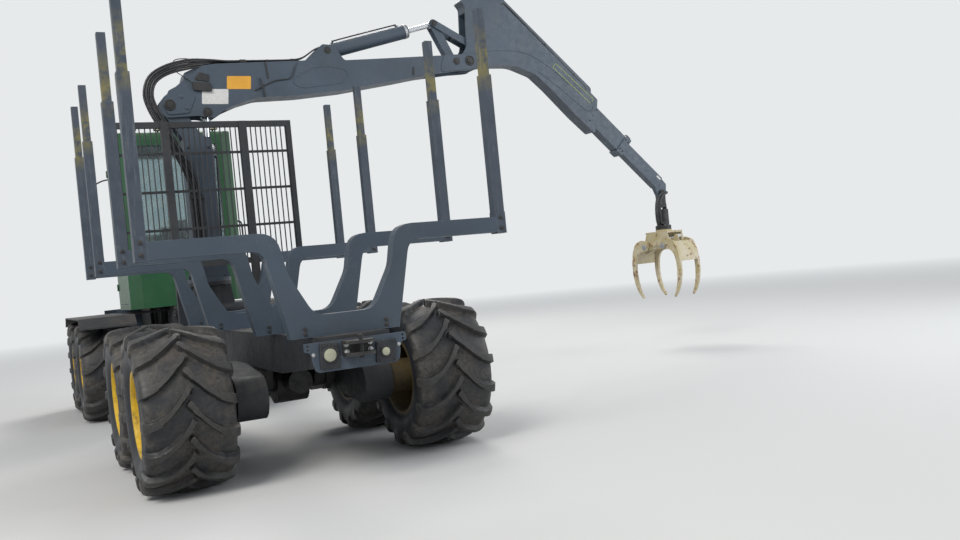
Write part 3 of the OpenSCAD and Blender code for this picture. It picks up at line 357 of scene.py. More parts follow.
def settled_dust(tree, given):
    """Thick on faces that look up, and blotchy everywhere."""
    shelf = tree.ramp(tree.axis(tree.spot("Normal"), "Z"), 0.2, 1.0, 0.25, 1.0)
    blotch = tree.ramp(tree.noise(given["Scale"], 8.0, 0.65), 0.42, 0.72)
    fine = tree.patches(60.0, 4.0, 0.7, 0.35, 0.75)
    return tree.times(shelf, blotch, tree.math("ADD", fine, 0.35))


def rubbed_scratches(tree, given):
    """Two thin bands of noise stretched in crossing directions."""
    lines = []
    for angle, stretch in ((0.5, (1.0, 1.0, 14.0)), (-0.9, (12.0, 1.0, 1.0))):
        placed = {"Vector": tree.spot(), "Rotation": (0.3, angle, 0.2), "Scale": stretch}
        band = tree.noise(given["Scale"], 2.0, at=tree.add("ShaderNodeMapping", placed).outputs[0])
        lines.append(tree.ramp(tree.math("ABSOLUTE", tree.math("SUBTRACT", band, 0.5)), 0.012, 0.002))
    return tree.times(tree.math("MAXIMUM", *lines), tree.patches(1.7, 3.0, 0.55, 0.5, 0.62))


WEAR = group("worn edges", {"Width": 0.008, "Amount": 0.6}, worn_edges)
DUST = group("settled dust", {"Amount": 0.4, "Scale": 3.0}, settled_dust)
SCRATCHES = group("rubbed scratches", {"Amount": 0.4, "Scale": 6.0}, rubbed_scratches)
SOIL = (0.15, 0.118, 0.085)


class Finish(Tree):
    """Material in the making: base is its colour so far."""

    def __init__(self, name, colour):
        self.made = bpy.data.materials.new(name)
        self.made.use_nodes = True
        super().__init__(self.made.node_tree)
        self.base = colour

    def paint(self, amount, colour):
        """Lays a colour over the base by an amount."""
        self.base = self.blend(amount, self.base, colour)

    def mask(self, shared, **inputs):
        """Mask of a shared group, with its inputs given by name."""
        return self.add("ShaderNodeGroup", inputs, node_tree=shared).outputs["Mask"]

    def done(self, rough, relief=None, others=None):
        """The material with its colour and roughness, a relief of (height, strength, distance) and other
        inputs of its shader wired."""
        shader = self.find("BSDF_PRINCIPLED")
        self.feed(shader, {"Base Color": self.base, "Roughness": rough, **(others or {})})
        if relief:
            raised = self.add("ShaderNodeBump", dict(zip(("Height", "Strength", "Distance"), relief)))
            self.feed(shader, {"Normal": raised.outputs[0]})
        return self.made


def coated(name, colour, second, bare, rough=(0.38, 0.6), dust=0.5, scratch=0.3, bump=0.12, coat=0.0):
    """Painted or plastic finish: clouded towards a second colour, scratched, worn bare at its edges and
    dusty."""
    finish = Finish(name, colour)
    finish.paint(finish.patches(1.3, 6.0, 0.6, 0.35, 0.68), second)
    finish.paint(finish.mask(SCRATCHES, Amount=scratch), [min(1.0, 1.6 * value + 0.05) for value in colour])
    finish.paint(finish.mask(WEAR, Amount=0.7), bare)
    finish.paint(finish.mask(DUST, Amount=dust), SOIL)
    patchy = finish.noise(14.0, 5.0, 0.65)
    height = finish.math("ADD", finish.times(finish.noise(240.0, 2.0), 0.35), patchy)
    return finish.done(finish.ramp(patchy, 0.3, 0.7, *rough), (height, bump, 0.004), {"Coat Weight": coat})


def rusted(name, colour, second, rust, share):
    """Paint that rust eats into by noise, most at the edges and by a share of 0 to 1."""
    finish = Finish(name, colour)
    finish.paint(finish.patches(5.0, 8.0, 0.68, 0.35, 0.65), second)
    patches = finish.noise(11.0, 10.0, 0.75)
    eaten = finish.math("SUBTRACT", 1.0, finish.ramp(patches, 0.6, 0.52, 1.0 - share, 0.0))
    spots = finish.ramp(patches, 0.66 - 0.2 * share, 0.7 - 0.2 * share)
    reach = finish.math("MAXIMUM", finish.times(finish.mask(WEAR, Amount=0.9, Width=0.014), eaten), spots)
    grain = finish.noise(90.0, 4.0, 0.7)
    finish.paint(reach, finish.blend(finish.ramp(grain, 0.35, 0.65), rust, [0.45 * value for value in rust]))
    finish.paint(finish.mask(DUST, Amount=0.3), SOIL)
    height = finish.math("ADD", finish.times(grain, 0.5), reach)
    return finish.done(finish.ramp(reach, 0.0, 1.0, 0.5, 0.86), (height, 0.25, 0.003))


def metal(name, colour, rough, dirt):
    """Bare or chromed steel with oily streaks."""
    finish = Finish(name, colour)
    streak = finish.noise(24.0, 6.0, 0.65)
    finish.paint(finish.times(finish.ramp(streak, 0.52, 0.72), dirt), (0.1, 0.075, 0.05))
    relief = (finish.noise(160.0, 3.0), 0.08, 0.002)
    return finish.done(finish.ramp(streak, 0.3, 0.75, *rough), relief, {"Metallic": 1.0})


def hose_rubber():
    """Rubber scuffed on its edges, with soil in the hollows."""
    finish = Finish("hose rubber", (0.014, 0.015, 0.018))
    finish.paint(finish.mask(WEAR, Amount=0.55, Width=0.016), (0.16, 0.135, 0.105))
    cloud = finish.noise(4.0, 9.0, 0.7)
    speck = finish.noise(38.0, 8.0, 0.75)
    finish.paint(finish.times(finish.ramp(cloud, 0.5, 0.72), finish.ramp(speck, 0.42, 0.66), 0.25), SOIL)
    return finish.done(finish.ramp(cloud, 0.3, 0.7, 0.35, 0.55), (speck, 0.22, 0.004))


def tinted_glass():
    """Safety glass with a film of dust."""
    finish = Finish("cab glass", (0.5, 0.6, 0.62))
    film = finish.noise(5.0, 6.0, 0.6)
    finish.paint(finish.ramp(film, 0.5, 0.75, 0.0, 0.5), (0.62, 0.66, 0.62))
    others = {"Transmission Weight": 0.9, "IOR": 1.45}
    return finish.done(finish.ramp(film, 0.35, 0.8, 0.06, 0.22), others=others)


def tyre_rubber():
    """Tyre rubber. Its UV holds the lug's height from 0 to 1 and the radius in metres: soil lies between
    the lugs, their faces are scuffed to a grey brown, and pale dust clings to the shoulder."""
    finish = Finish("tyre rubber", (0.0078, 0.0098, 0.014))
    ramp, times = finish.ramp, finish.times
    height, radius = (finish.axis(finish.spot("UV"), name) for name in "XY")
    cloud = finish.noise(3.2, 8.0, 0.66)
    speck = finish.noise(30.0, 8.0, 0.74)
    grain = finish.noise(110.0, 5.0, 0.7)
    faces = finish.blend(ramp(grain, 0.35, 0.7), (0.0155, 0.0165, 0.0185), (0.03, 0.03, 0.031))
    finish.paint(ramp(height, 0.35, 0.8), faces)
    ground = times(ramp(height, 0.7, 0.97), ramp(radius, 0.635, 0.655))
    finish.paint(times(ground, ramp(speck, 0.38, 0.66), 0.4), (0.085, 0.078, 0.068))
    finish.paint(finish.mask(WEAR, Amount=0.5, Width=0.012), (0.17, 0.145, 0.11))
    shoulder = times(ramp(radius, 0.5, 0.57), ramp(radius, 0.66, 0.6))
    finish.paint(times(shoulder, ramp(cloud, 0.38, 0.6), ramp(speck, 0.3, 0.62), 0.62), (0.175, 0.158, 0.132))
    groove = times(ramp(height, 0.5, 0.05), ramp(radius, 0.585, 0.615))
    mud = times(groove, ramp(cloud, 0.47, 0.6), ramp(speck, 0.4, 0.6))
    finish.paint(times(mud, 0.4), (0.07, 0.05, 0.034))
    relief = finish.math("ADD", times(speck, 0.7), times(mud, 0.8))
    return finish.done(ramp(cloud, 0.3, 0.7, 0.4, 0.72), (relief, 0.3, 0.006))


def wheel_paint():
    """Yellow wheel paint under dust and splashed mud, and painted shade nearly black on the machine's inner
    side.
    """
    finish = Finish("wheel paint", (0.7, 0.46, 0.018))
    from_middle = finish.math("SUBTRACT", finish.axis(finish.spot(), "X"), float(CENTRE[0]))
    # Painted shade: the side of each wheel that looks in towards the machine is darkened nearly to black
    inner = finish.ramp(finish.math("ABSOLUTE", from_middle), 1.165, 1.125)
    cloud = finish.noise(3.0, 8.0, 0.68)
    speck = finish.noise(26.0, 8.0, 0.72)
    finish.paint(cloud, (0.56, 0.34, 0.014))
    mud = finish.times(finish.ramp(cloud, 0.44, 0.6), finish.ramp(speck, 0.4, 0.58), 0.85)
    finish.paint(mud, (0.085, 0.06, 0.038))
    # Painted shade, nearly black, laid over the wheels' inner side
    finish.paint(finish.times(inner, 0.93), (0.022, 0.019, 0.016))
    return finish.done(finish.ramp(speck, 0.3, 0.7, 0.42, 0.75), (speck, 0.25, 0.004))


def stake_paint():
    """Dark slate paint rubbed pale in upright streaks, with worn olive yellow patches over the sleeves."""
    finish = Finish("stake paint", (0.03, 0.043, 0.062))
    ramp, times = finish.ramp, finish.times
    cloud = finish.noise(6.0, 8.0, 0.68)
    finish.paint(ramp(cloud, 0.35, 0.65), (0.052, 0.066, 0.088))
    drawn_out = finish.add("ShaderNodeMapping", {"Vector": finish.spot(), "Scale": (1.0, 1.0, 0.1)})
    streak = ramp(finish.noise(42.0, 6.0, 0.7, at=drawn_out.outputs[0]), 0.56, 0.68)
    finish.paint(times(streak, 0.5), (0.135, 0.15, 0.17))
    height = finish.axis(finish.spot(), "Z")
    sleeve = times(ramp(height, 3.05, 3.22), ramp(height, 3.66, 3.38))
    finish.paint(times(sleeve, finish.patches(9.0, 6.0, 0.7, 0.42, 0.58), 0.62), (0.235, 0.2, 0.045))
    finish.paint(times(finish.patches(15.0, 9.0, 0.75, 0.62, 0.7), 0.7), (0.085, 0.046, 0.026))
    finish.paint(finish.mask(WEAR, Amount=0.9), (0.19, 0.195, 0.2))
    relief = finish.math("SUBTRACT", cloud, times(streak, 0.3))
    return finish.done(ramp(cloud, 0.3, 0.7, 0.42, 0.68), (relief, 0.2, 0.003))


def fabric():
    """Dark woven seat cover: two crossing waves of thread, faded on top, with a soft sheen."""
    finish = Finish("seat fabric", (0.02, 0.021, 0.025))
    threads = {"Vector": finish.spot(), "Scale": 260.0}
    waves = [finish.add("ShaderNodeTexWave", threads, bands_direction=axis).outputs["Fac"] for axis in "XY"]
    weave = finish.times(*waves)
    finish.paint(finish.patches(7.0, 6.0, 0.55, 0.35, 0.7), (0.05, 0.05, 0.053))
    finish.paint(finish.times(weave, 0.4), (0.1, 0.1, 0.11))
    return finish.done(0.9, (weave, 0.3, 0.001), {"Sheen Weight": 0.3})


# Each coat: name, colour, colour of its clouds, colour where it is worn
SLATE = coated("slate paint", (0.046, 0.068, 0.096), (0.036, 0.052, 0.072), (0.2, 0.22, 0.24), dust=0.34,
               scratch=0.5)
SLATE_DARK = coated("slate paint in grime", (0.017, 0.022, 0.029), (0.01, 0.012, 0.015), (0.1, 0.1, 0.095),
                    rough=(0.5, 0.75), bump=0.25)
IRON = coated("oily iron", (0.015, 0.016, 0.018), (0.009, 0.009, 0.01), (0.1, 0.095, 0.09),
              rough=(0.42, 0.75), bump=0.3)
GREEN = coated("green paint", (0.012, 0.085, 0.03), (0.008, 0.06, 0.022), (0.16, 0.19, 0.16), dust=0.35,
               rough=(0.4, 0.55), coat=0.05)
PLASTIC = coated("scuffed plastic", (0.022, 0.024, 0.027), (0.03, 0.032, 0.034), (0.11, 0.11, 0.11),
                 dust=0.6, rough=(0.5, 0.7), bump=0.3)
WHITE = coated("blank white plate", (0.62, 0.62, 0.6), (0.52, 0.52, 0.5), (0.3, 0.3, 0.3), scratch=0.6)
AMBER = coated("blank amber plate", (0.74, 0.36, 0.035), (0.62, 0.3, 0.03), (0.35, 0.25, 0.2), scratch=0.7)
LIME = coated("plate border", (0.34, 0.42, 0.07), (0.28, 0.36, 0.06), (0.2, 0.2, 0.2), scratch=0.6)
LENS = coated("lamp lens", (0.42, 0.43, 0.3), (0.34, 0.35, 0.25), (0.5, 0.5, 0.4), dust=0.6,
              rough=(0.14, 0.3), bump=0.3, coat=0.6)
CREAM = rusted("claw paint", (0.56, 0.5, 0.38), (0.45, 0.38, 0.19), (0.26, 0.11, 0.045), share=0.5)
RUST = rusted("rusty barrel", (0.22, 0.085, 0.035), (0.15, 0.06, 0.03), (0.3, 0.12, 0.045), share=0.6)
CHROME = metal("cylinder chrome", (0.6, 0.62, 0.65), rough=(0.16, 0.34), dirt=0.3)
STEEL = metal("dull steel", (0.42, 0.43, 0.44), rough=(0.38, 0.6), dirt=0.55)
YELLOW, STAKE, TYRE, HOSE, GLASS, FABRIC = (
    wheel_paint(), stake_paint(), tyre_rubber(), hose_rubber(), tinted_glass(), fabric())

WHEELS = [(side, index) for side in ("left", "right") for index in range(1, 5)]
NODE_FINISH = {
    SLATE: "bolsters inner_boom outer_boom lift_barrel jib_barrel extension_1 extension_2 rocker_link "
           "push_link tail_plate pillar front_guard",
    SLATE_DARK: "rear_frame rear_bogies front_frame front_bogies crane_base headboard steer_barrel_left "
                "steer_barrel_right",
    IRON: "rear_axle front_axle engine tip_link rotator tow_hitch",
    GREEN: "hood cab_shell cab_door",
    YELLOW: " ".join(f"rim_{side}_{index}" for side, index in WHEELS),
    PLASTIC: "fenders seat",
    CREAM: "grapple_frame claw_outer claw_inner",
    RUST: "claw_barrel",
    STAKE: "stakes",
    TYRE: " ".join(f"tire_{side}_{index}" for side, index in WHEELS),
    CHROME: "lift_rod jib_rod claw_rod steer_rod_left steer_rod_right",
    GLASS: "cab_glass door_glass",
}
for finish, names in NODE_FINISH.items():
    for name in names.split():
        materials = frame["nodes"][name].data.materials
        materials.clear()
        materials.append(finish)


def in_scene(name, data):
    """New object of a mesh, camera or light, linked into the scene."""
    made = bpy.data.objects.new(name, data)
    bpy.context.scene.collection.objects.link(made)
    return made


def piece(name, shape, finish, body, smooth=35.0, stands_for=(), uv=None):
    """Mesh object of a shape or a list of shapes, riding on a body where one is given, in its finish and
    smoothed below an angle. uv holds one pair per point."""
    points, faces = joined(*shape) if isinstance(shape, list) else shape
    mesh = bpy.data.meshes.new(name)
    loops = np.concatenate([face.ravel() for face in faces]).astype(np.int32)
    sizes = np.concatenate([np.full(len(face), face.shape[1]) for face in faces])
    starts = np.concatenate([[0], np.cumsum(sizes)[:-1]]).astype(np.int32)
    mesh.vertices.add(len(points))
    mesh.vertices.foreach_set("co", np.ascontiguousarray(points, np.float32).ravel())
    mesh.loops.add(len(loops))
    mesh.loops.foreach_set("vertex_index", loops)
    mesh.polygons.add(len(starts))
    mesh.polygons.foreach_set("loop_start", starts)
    mesh.update(calc_edges=True)
    mesh.validate()
    if uv is not None:
        pairs = np.ascontiguousarray(uv[loops], np.float32)
        mesh.uv_layers.new(name="own").data.foreach_set("uv", pairs.ravel())
    mesh.materials.append(finish)
    mesh.polygons.foreach_set("use_smooth", np.ones(len(starts), bool))
    mesh.set_sharp_from_angle(angle=math.radians(smooth))
    thing = in_scene(name, mesh)
    if body:
        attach(thing, body)
    if stands_for:
        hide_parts(*stands_for)
    return thing


# Tyres

PITCHES = 15
LUG_H = 0.048
SWEEP = 0.41
SWEPT_TO = 0.33
TYRE_LOW, TYRE_HIGH = corners("tire_left_4")
TYRE_R = (TYRE_HIGH[2] - TYRE_LOW[2]) / 2
BEAD_R = 0.338


def steps_between(value, low, high):
    """Smooth step from 0 at low to 1 at high."""
    t = np.clip((value - low) / (high - low), 0, 1)
    return t * t * (3 - 2 * t)


def lug_height(arc, out):
    """Height, from 0 to 1, of one side's lug: arc is the distance along the tread from its middle line,
    out is the distance from the tyre's centre towards that side. The nose is a rounded bulb, the bar
    narrows behind it and widens to the shoulder, and its walls slope."""
    half = 0.031 + 0.013 * np.exp(-(((out - 0.012) / 0.036) ** 2)) + 0.012 * steps_between(out, 0.15, 0.33)
    nose = np.sqrt(np.clip(1 - (np.clip(0.014 - out, 0, None) / 0.046) ** 2, 0, 1))
    wall = 0.009
    return np.clip((half * nose - np.abs(arc)) / wall + 0.5, 0, 1) * (out > -0.031)


def swept(out):
    """Turn of a lug's middle line at a distance out from the tyre's centre: steep at the nose, flat at
    the shoulder."""
    return SWEEP * (1 - (1 - np.clip(out / SWEPT_TO, 0, 1)) ** 1.8)


def tyre_shape():
    """Tyre about the X axis at zero. Columns go round it, sheared by the lugs' sweep, and stand closer
    at the lugs' walls. Rows follow the section from bead to bead. A point is the carcass point plus the
    lug's height along the section's normal. Returns the shape and its pairs of height and radius."""
    pitch = 2 * np.pi * TYRE_R / PITCHES
    wall = np.array([0.022, 0.031, 0.038, 0.044, 0.052, 0.062])
    near = np.concatenate([-wall[::-1], [0], wall])
    one = np.concatenate([near, [pitch / 4], near + pitch / 2, [-pitch / 4 + pitch]])
    arcs = (np.arange(PITCHES)[:, None] * pitch + one[None]).ravel()
    crown = TYRE_R - LUG_H
    # Half section from the middle to the bead: distance out, depth below the crown
    fall = [(0.0, 0), (0.014, 0), (0.028, 0), (0.042, 0), (0.062, 0.001), (0.15, 0.004), (0.24, 0.01),
            (0.3, 0.018), (0.334, 0.034), (0.347, 0.058), (0.352, 0.095), (0.357, 0.135), (0.355, 0.18),
            (0.342, 0.222), (0.326, 0.248), (0.322, crown - 0.362), (0.3, crown - 0.341)]
    half = curve([(out, crown - depth) for out, depth in fall], 40)
    section = np.concatenate([half[:0:-1] * [-1, 1], half])
    along = unit(np.gradient(section, axis=0))
    normal = np.stack([-along[:, 1], along[:, 0]], 1)
    x, r = section.T[:, :, None]
    shear = swept(np.abs(x))
    left_arc, right_arc = (arcs + TYRE_R * (shear - swept(out)) for out in (-x, x))
    left = lug_height((left_arc + pitch / 2) % pitch - pitch / 2, -x)
    right = lug_height(right_arc % pitch - pitch / 2, x)
    lug = np.maximum(left, right) * steps_between(r, crown - 0.118, crown - 0.08)
    height = lug * (LUG_H - 0.027 * (1 - steps_between(r, crown - 0.055, crown - 0.02)))
    turn = arcs / TYRE_R + shear
    out_x = x + normal[:, :1] * height
    out_r = np.minimum(r + normal[:, 1:] * height, TYRE_R)
    points = np.stack([out_x, out_r * np.cos(turn), out_r * np.sin(turn)], -1)
    bead_x = np.array([[0.285], [-0.285]]) + 0 * turn[:2]
    bead_turn = turn[[-1, 0]]
    bead = np.stack([bead_x, BEAD_R * np.cos(bead_turn), BEAD_R * np.sin(bead_turn)], -1)
    bead_pairs = np.broadcast_to([0.0, BEAD_R], (2, len(arcs), 2))
    pairs = np.concatenate([np.stack([lug, out_r], -1), bead_pairs])
    return rings(np.concatenate([points, bead]), closed=True), pairs.reshape(-1, 2)


def hub_parts(sign):
    """Nuts and cover on a wheel's outer face, which looks along X times sign."""
    face = sign * RIGHT
    nuts = bolt_ring(0.042 * face, face, 0.215, 12, 0.017)
    studs = bolt_ring(0.108 * face, face, 0.132, 16, 0.009, 0.1)
    cover = spun([(0.152, 0), (0.152, 0.05), (0.14, 0.066), (0.118, 0.07), (0.112, 0.118), (0.098, 0.13),
                  (0.02, 0.134)], 40)
    return joined(nuts, studs), turned(cover, aimed(face), 0.04 * face)


tyre, tyre_uv = tyre_shape()
for side, index in WHEELS:
    sign = -1 if side == "left" else 1
    centre = np.array(JOINTS[f"roll_{side}_{index}"]["pos_m"])
    body = f"wheel_{side}_{index}"
    roll = np.array(Matrix.Rotation(0.7 * index + (0.4 if sign > 0 else 0.0), 3, "X"))
    piece(f"tyre_{side}_{index}", turned(tyre, roll, centre), TYRE, body, stands_for=[f"tire_{side}_{index}"],
          uv=tyre_uv)
    nuts, cover = hub_parts(sign)
    piece(f"hub_nuts_{side}_{index}", moved(nuts, centre), STEEL, body)
    piece(f"hub_cover_{side}_{index}", moved(cover, centre), IRON, body)


# Crane: rows of numbers are (reach, height, side) or, for outlines, (reach, height)

BACKWARD = np.array([[1.0, 0.0, 0.0], [0.0, 0.0, -1.0], [0.0, 1.0, 0.0]])
BOOM_FACE = rear_face("inner_boom")
OUTER_FACE = rear_face("outer_boom")
ON_BOOM = crane(0, 0, BOOM_FACE)
ON_OUTER = crane(0, 0, OUTER_FACE)


def plate(outline, corner, thickness, spot, edge=0.003):
    """Plate that looks back, from its outline of (across, height) round a spot, with rounded corners."""
    return turned(slab(rounded(outline, corner), thickness, edge), BACKWARD, spot)


def sign_plate(outline, spot, corner=0.014):
    """Thin blank plate that looks back."""
    return plate(outline, corner, 0.002, spot, 0.0006)


def both_sides(*shapes):
    """The shapes and their mirror images across the crane's plane."""
    points, faces = joined(*shapes)
    other = points * [1, -1, 1] + [0, 2 * SLEW[1], 0]
    return joined((points, faces), (other, [face[:, ::-1] for face in faces]))


def caps(name, body, rows):
    """Stepped caps with a groove and three bolts on both ends of pins, from rows of a place and a radius."""
    profile = np.array([(1.0, 0), (1.0, 0.1), (0.92, 0.16), (0.84, 0.16), (0.8, 0.09), (0.6, 0.09),
                        (0.55, 0.22), (0.2, 0.25)])
    shapes = []
    for *row, radius in rows:
        spot = crane(*row)
        middle = spot + 0.1 * radius * BACK
        shapes += [turned(spun(profile * radius, 40), aimed(BACK), spot),
                   bolt_ring(middle, BACK, 0.7 * radius, 3, 0.085 * radius + 0.003, 0.5)]
    piece(name, both_sides(*shapes), IRON, body)


def clamp(start, end, side, width, depth):
    """Rounded block round a run of hoses or pipes, from one (reach, height) to another."""
    start, end = crane(*start, side), crane(*end, side)
    length = np.linalg.norm(end - start)
    along = (end - start) / length
    across = np.cross(AHEAD, along)
    axes = np.stack([across, np.cross(along, across), along], 1)
    return turned(slab(pane(width, depth, 0.35 * depth), length, 0.004), axes, start)


def crane_tube(rows, radius, sides, count):
    """Round bar along the curve through rows of reach, height and side."""
    return tube([crane(*row) for row in rows], radius, sides, count)


def hose(name, points, radius, count, sides=10, ribs=0.0):
    """Round hose along the curve through the points. Ribs swell and narrow its sleeve by a share of its
    radius."""
    path = curve(points, count)
    swell = 1 + ribs * np.sin(np.arange(count) * 2.1)
    run = carried(path, round_profile(radius / (1 + ribs), sides), AHEAD * 0.999 + UP * 0.03, swell)
    made = piece(name, run, HOSE, None, smooth=60.0)
    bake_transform(made)


def beside(rows, inwards, sideways):
    """The rows' points moved by a distance square to the run in the crane's plane, and by another across
    the plane."""
    rows = np.array(rows, float)
    along = unit(np.gradient(rows[:, :2], axis=0))
    rows[:, 0] -= inwards * along[:, 1]
    rows[:, 1] += inwards * along[:, 0]
    rows[:, 2] += sideways
    return np.array([crane(*row) for row in rows])


# The hoses lie side by side on the boom's top and stand one over another in the loop
LOOP = [(0.82, 4.494, -0.05), (0.64, 4.49, -0.05), (0.44, 4.482, -0.06), (0.22, 4.462, -0.125),
        (-0.02, 4.425, -0.19), (-0.29, 4.352, -0.206), (-0.478, 4.232, -0.208), (-0.546, 4.055, -0.208),
        (-0.515, 3.885, -0.205), (-0.415, 3.665, -0.2), (-0.31, 3.43, -0.19), (-0.19, 3.18, -0.175),
        (-0.11, 2.9, -0.165), (-0.09, 2.5, -0.162), (-0.09, 2.06, -0.162)]
STANDING = np.array([0, 0, 0.05, 0.5] + [1.0] * 11)
for index in range(5):
    inwards = 0.026 * (index - 2) * STANDING
    sideways = 0.031 * (index - 2) * (1 - STANDING) - 0.012 * (index % 2) * STANDING
    hose(f"loop_hose_{index + 1}", beside(LOOP, inwards, sideways), 0.014,
         52)
CABLE = [(0.12, 4.47, -0.175), (-0.08, 4.49, -0.19), (-0.209, 4.457, -0.2), (-0.2, 4.34, -0.2),
         (-0.115, 4.273, -0.19), (-0.025, 4.212, -0.18)]
piece("thin_cable", crane_tube(CABLE, 0.006, 8, 30), HOSE, "inner_boom")

CLAMP_LOW = [(-0.01, 4.207), (0.004, 4.1), (0.224, 4.085), (0.219, 4.195)]
CLAMP_HIGH = [(0.02, 4.235), (0.2, 4.212), (0.215, 4.3), (0.09, 4.33)]
piece("boom_clamps", [
    clamp((0.7, 4.484), (0.62, 4.484), -0.05, 0.052, 0.175),
    clamp((0.955, 4.256), (0.935, 4.469), -0.163, 0.022, 0.012),
    clamp((3.003, 4.316), (3.014, 4.428), -0.163, 0.022, 0.012),
    plate(CLAMP_LOW, 0.012, 0.035, ON_BOOM),
    plate(CLAMP_HIGH, 0.02, 0.012, ON_BOOM),
], IRON, "inner_boom")
piece("pillar_clamps", [
    *(clamp((-0.09, z), (-0.09, z + 0.05), -0.158, 0.175, 0.062) for z in (2.75, 2.14)),
    both_sides(bolts([crane(reach, 3.4, -0.131) for reach in (-0.12, 0.12)], BACK, 0.013)),
], IRON, "pillar")

ROOT = [(-0.38, 3.93), (-0.33, 3.8), (-0.08, 3.82), (0.02, 4.02), (-0.105, 4.205), (-0.3, 4.1)]
RECESS = [(1.264, 4.225), (1.33, 4.158), (1.42, 4.136), (1.946, 4.201), (2.055, 4.296), (2.036, 4.39),
          (1.816, 4.434), (1.575, 4.425), (1.324, 4.291)]
GUSSET = [(3.42, 4.36), (4.0, 4.42), (4.012, 4.6), (3.86, 4.625), (3.5, 4.605)]
piece("boom_plates", both_sides(
    plate(ROOT, 0.05, 0.014, ON_BOOM),
    turned(border(rounded(RECESS, 0.06), 0.014, 0.006), BACKWARD, ON_BOOM),
    plate(GUSSET, 0.05, 0.01, ON_BOOM),
    bolts([crane(-0.157, 4.021, BOOM_FACE - 0.014), crane(-0.1, 3.88, BOOM_FACE - 0.014)], BACK, 0.016),
), SLATE, "inner_boom")
caps("boom_pins", "inner_boom", [
    (-0.3, 3.92, BOOM_FACE - 0.013, 0.07), (0.15, 3.83, BOOM_FACE + 0.001, 0.06),
    (1.79, 4.64, BOOM_FACE + 0.001, 0.048), (3.69, 4.52, BOOM_FACE - 0.009, 0.052),
    (3.9, 4.53, BOOM_FACE - 0.009, 0.072),
])
caps("lift_base_pins", "pillar", [(0.075, 2.0, -0.129, 0.062)])
caps("rocker_pins", "rocker_link", [(3.43, 5.075, -0.087, 0.046)])
caps("push_pins", "push_link", [(3.95, 4.8, -0.087, 0.04)])

SIGN_LOW = [(0.088, 3.932), (0.415, 3.93), (0.433, 4.12), (0.106, 4.12)]
SIGN_HIGH = [(0.414, 4.12), (0.718, 4.12), (0.735, 4.287), (0.431, 4.285)]
piece("white_plate", both_sides(sign_plate(SIGN_LOW, ON_BOOM)), WHITE, "inner_boom")
piece("orange_plate", both_sides(sign_plate(SIGN_HIGH, ON_BOOM)), AMBER, "inner_boom")

FAR_PIPE = [(0.7, 4.504, 0.12), (1.2, 4.524, 0.13), (1.6, 4.557, 0.148), (2.4, 4.572, 0.145),
            (3.2, 4.622, 0.142), (3.42, 4.652, 0.14)]
DROP_PIPE = [(0.848, 4.262, -0.172), (0.87, 4.14, -0.182), (0.888, 4.017, -0.172)]
RISING_PIPE = [(0.767, 4.101, -0.17), (1.026, 4.224, -0.17), (1.242, 4.264, -0.17), (1.32, 4.4, -0.168),
               (1.38, 4.5, -0.15)]
pipes = [crane_tube(DROP_PIPE, 0.01, 10, 14), crane_tube(RISING_PIPE, 0.008, 8, 30)]
pipes += [crane_tube(np.array(FAR_PIPE) - [0, 0, gap], 0.01, 10, 48) for gap in (0.0, 0.026)]
for gap in (0.0, 0.03, 0.06):
    near = [(0.7, 4.492, -0.125 + gap), (0.95, 4.497, -0.135 + gap), (1.3, 4.512, -0.135 + gap),
            (1.45, 4.545, -0.135 + gap), (1.6, 4.64, -0.15 + 0.5 * gap), (1.69, 4.68, -0.15 + 0.5 * gap)]
    pipes.append(crane_tube(near, 0.01, 10, 36))
piece("boom_pipes", pipes, SLATE_DARK, "inner_boom")
NEAR_CLIPS = (-0.105, 0.034, 0.105)
FAR_CLIPS = (0.128, 0.036, 0.06)
piece("pipe_clips", [
    clamp((reach, height), (reach + 0.028, height + 0.001), *side_width_depth)
    for reach, height, side_width_depth in (
        (0.95, 4.492, NEAR_CLIPS), (1.28, 4.507, NEAR_CLIPS),
        (1.15, 4.522, FAR_CLIPS), (2.25, 4.568, FAR_CLIPS), (3.05, 4.612, FAR_CLIPS))
], IRON, "inner_boom")

SLIDE_MOUTH = np.array([6.04, 3.7])
SLIDE = np.array([0.72537, -0.68835])
OFF_SLIDE = np.array([0.68835, 0.72537])


def on_slide(along, out, side):
    """Point at a distance along the outer boom's slide from its mouth, and out from its middle line."""
    return crane(*(SLIDE_MOUTH + along * SLIDE + out * OFF_SLIDE), side)


SEAMS = [[(4.128, 4.678), (4.544, 4.7), (4.823, 4.676), (5.017, 4.608), (5.317, 4.425), (5.6, 4.19)],
         [(5.051, 4.397), (5.187, 4.311), (5.459, 4.111), (5.735, 3.895), (5.876, 3.799), (5.96, 3.8),
          (5.985, 3.86)]]
seams = [crane_tube([(*spot, OUTER_FACE) for spot in seam], 0.005, 8, 40) for seam in SEAMS]
MOUTH_BOLTS = [(-0.06, 0.1), (-0.06, -0.02), (-0.06, -0.12), (-0.2, 0.12)]
heads = [on_slide(*spot, OUTER_FACE) for spot in MOUTH_BOLTS]
piece("outer_boom_seams", both_sides(*seams, bolts(heads, BACK, 0.013)), SLATE, "outer_boom")
FIELD = rounded([(5.321, 4.463), (5.95, 3.906), (6.019, 3.97), (5.386, 4.524)], 0.012)
piece("plate_border", both_sides(turned(border(FIELD, 0.007, 0.002), BACKWARD, ON_OUTER)), LIME, "outer_boom")
ridge = []
for side, out in ((-0.084, 0.236), (-0.11, 0.232)):
    run = [(-2.25, out - 0.05), (-2.18, out), (-1.7, out), (-1.0, out), (-0.46, out), (-0.4, out - 0.05)]
    ridge.append(tube([on_slide(*spot, side) for spot in run], 0.0125, 10, 60))
piece("ridge_hoses", ridge, HOSE, "outer_boom")
piece("ridge_clips", [bar(on_slide(along, 0.236, -0.066), on_slide(along, 0.236, -0.126), 0.017, 6)
                      for along in (-2.0, -1.35, -0.7)], IRON, "outer_boom")


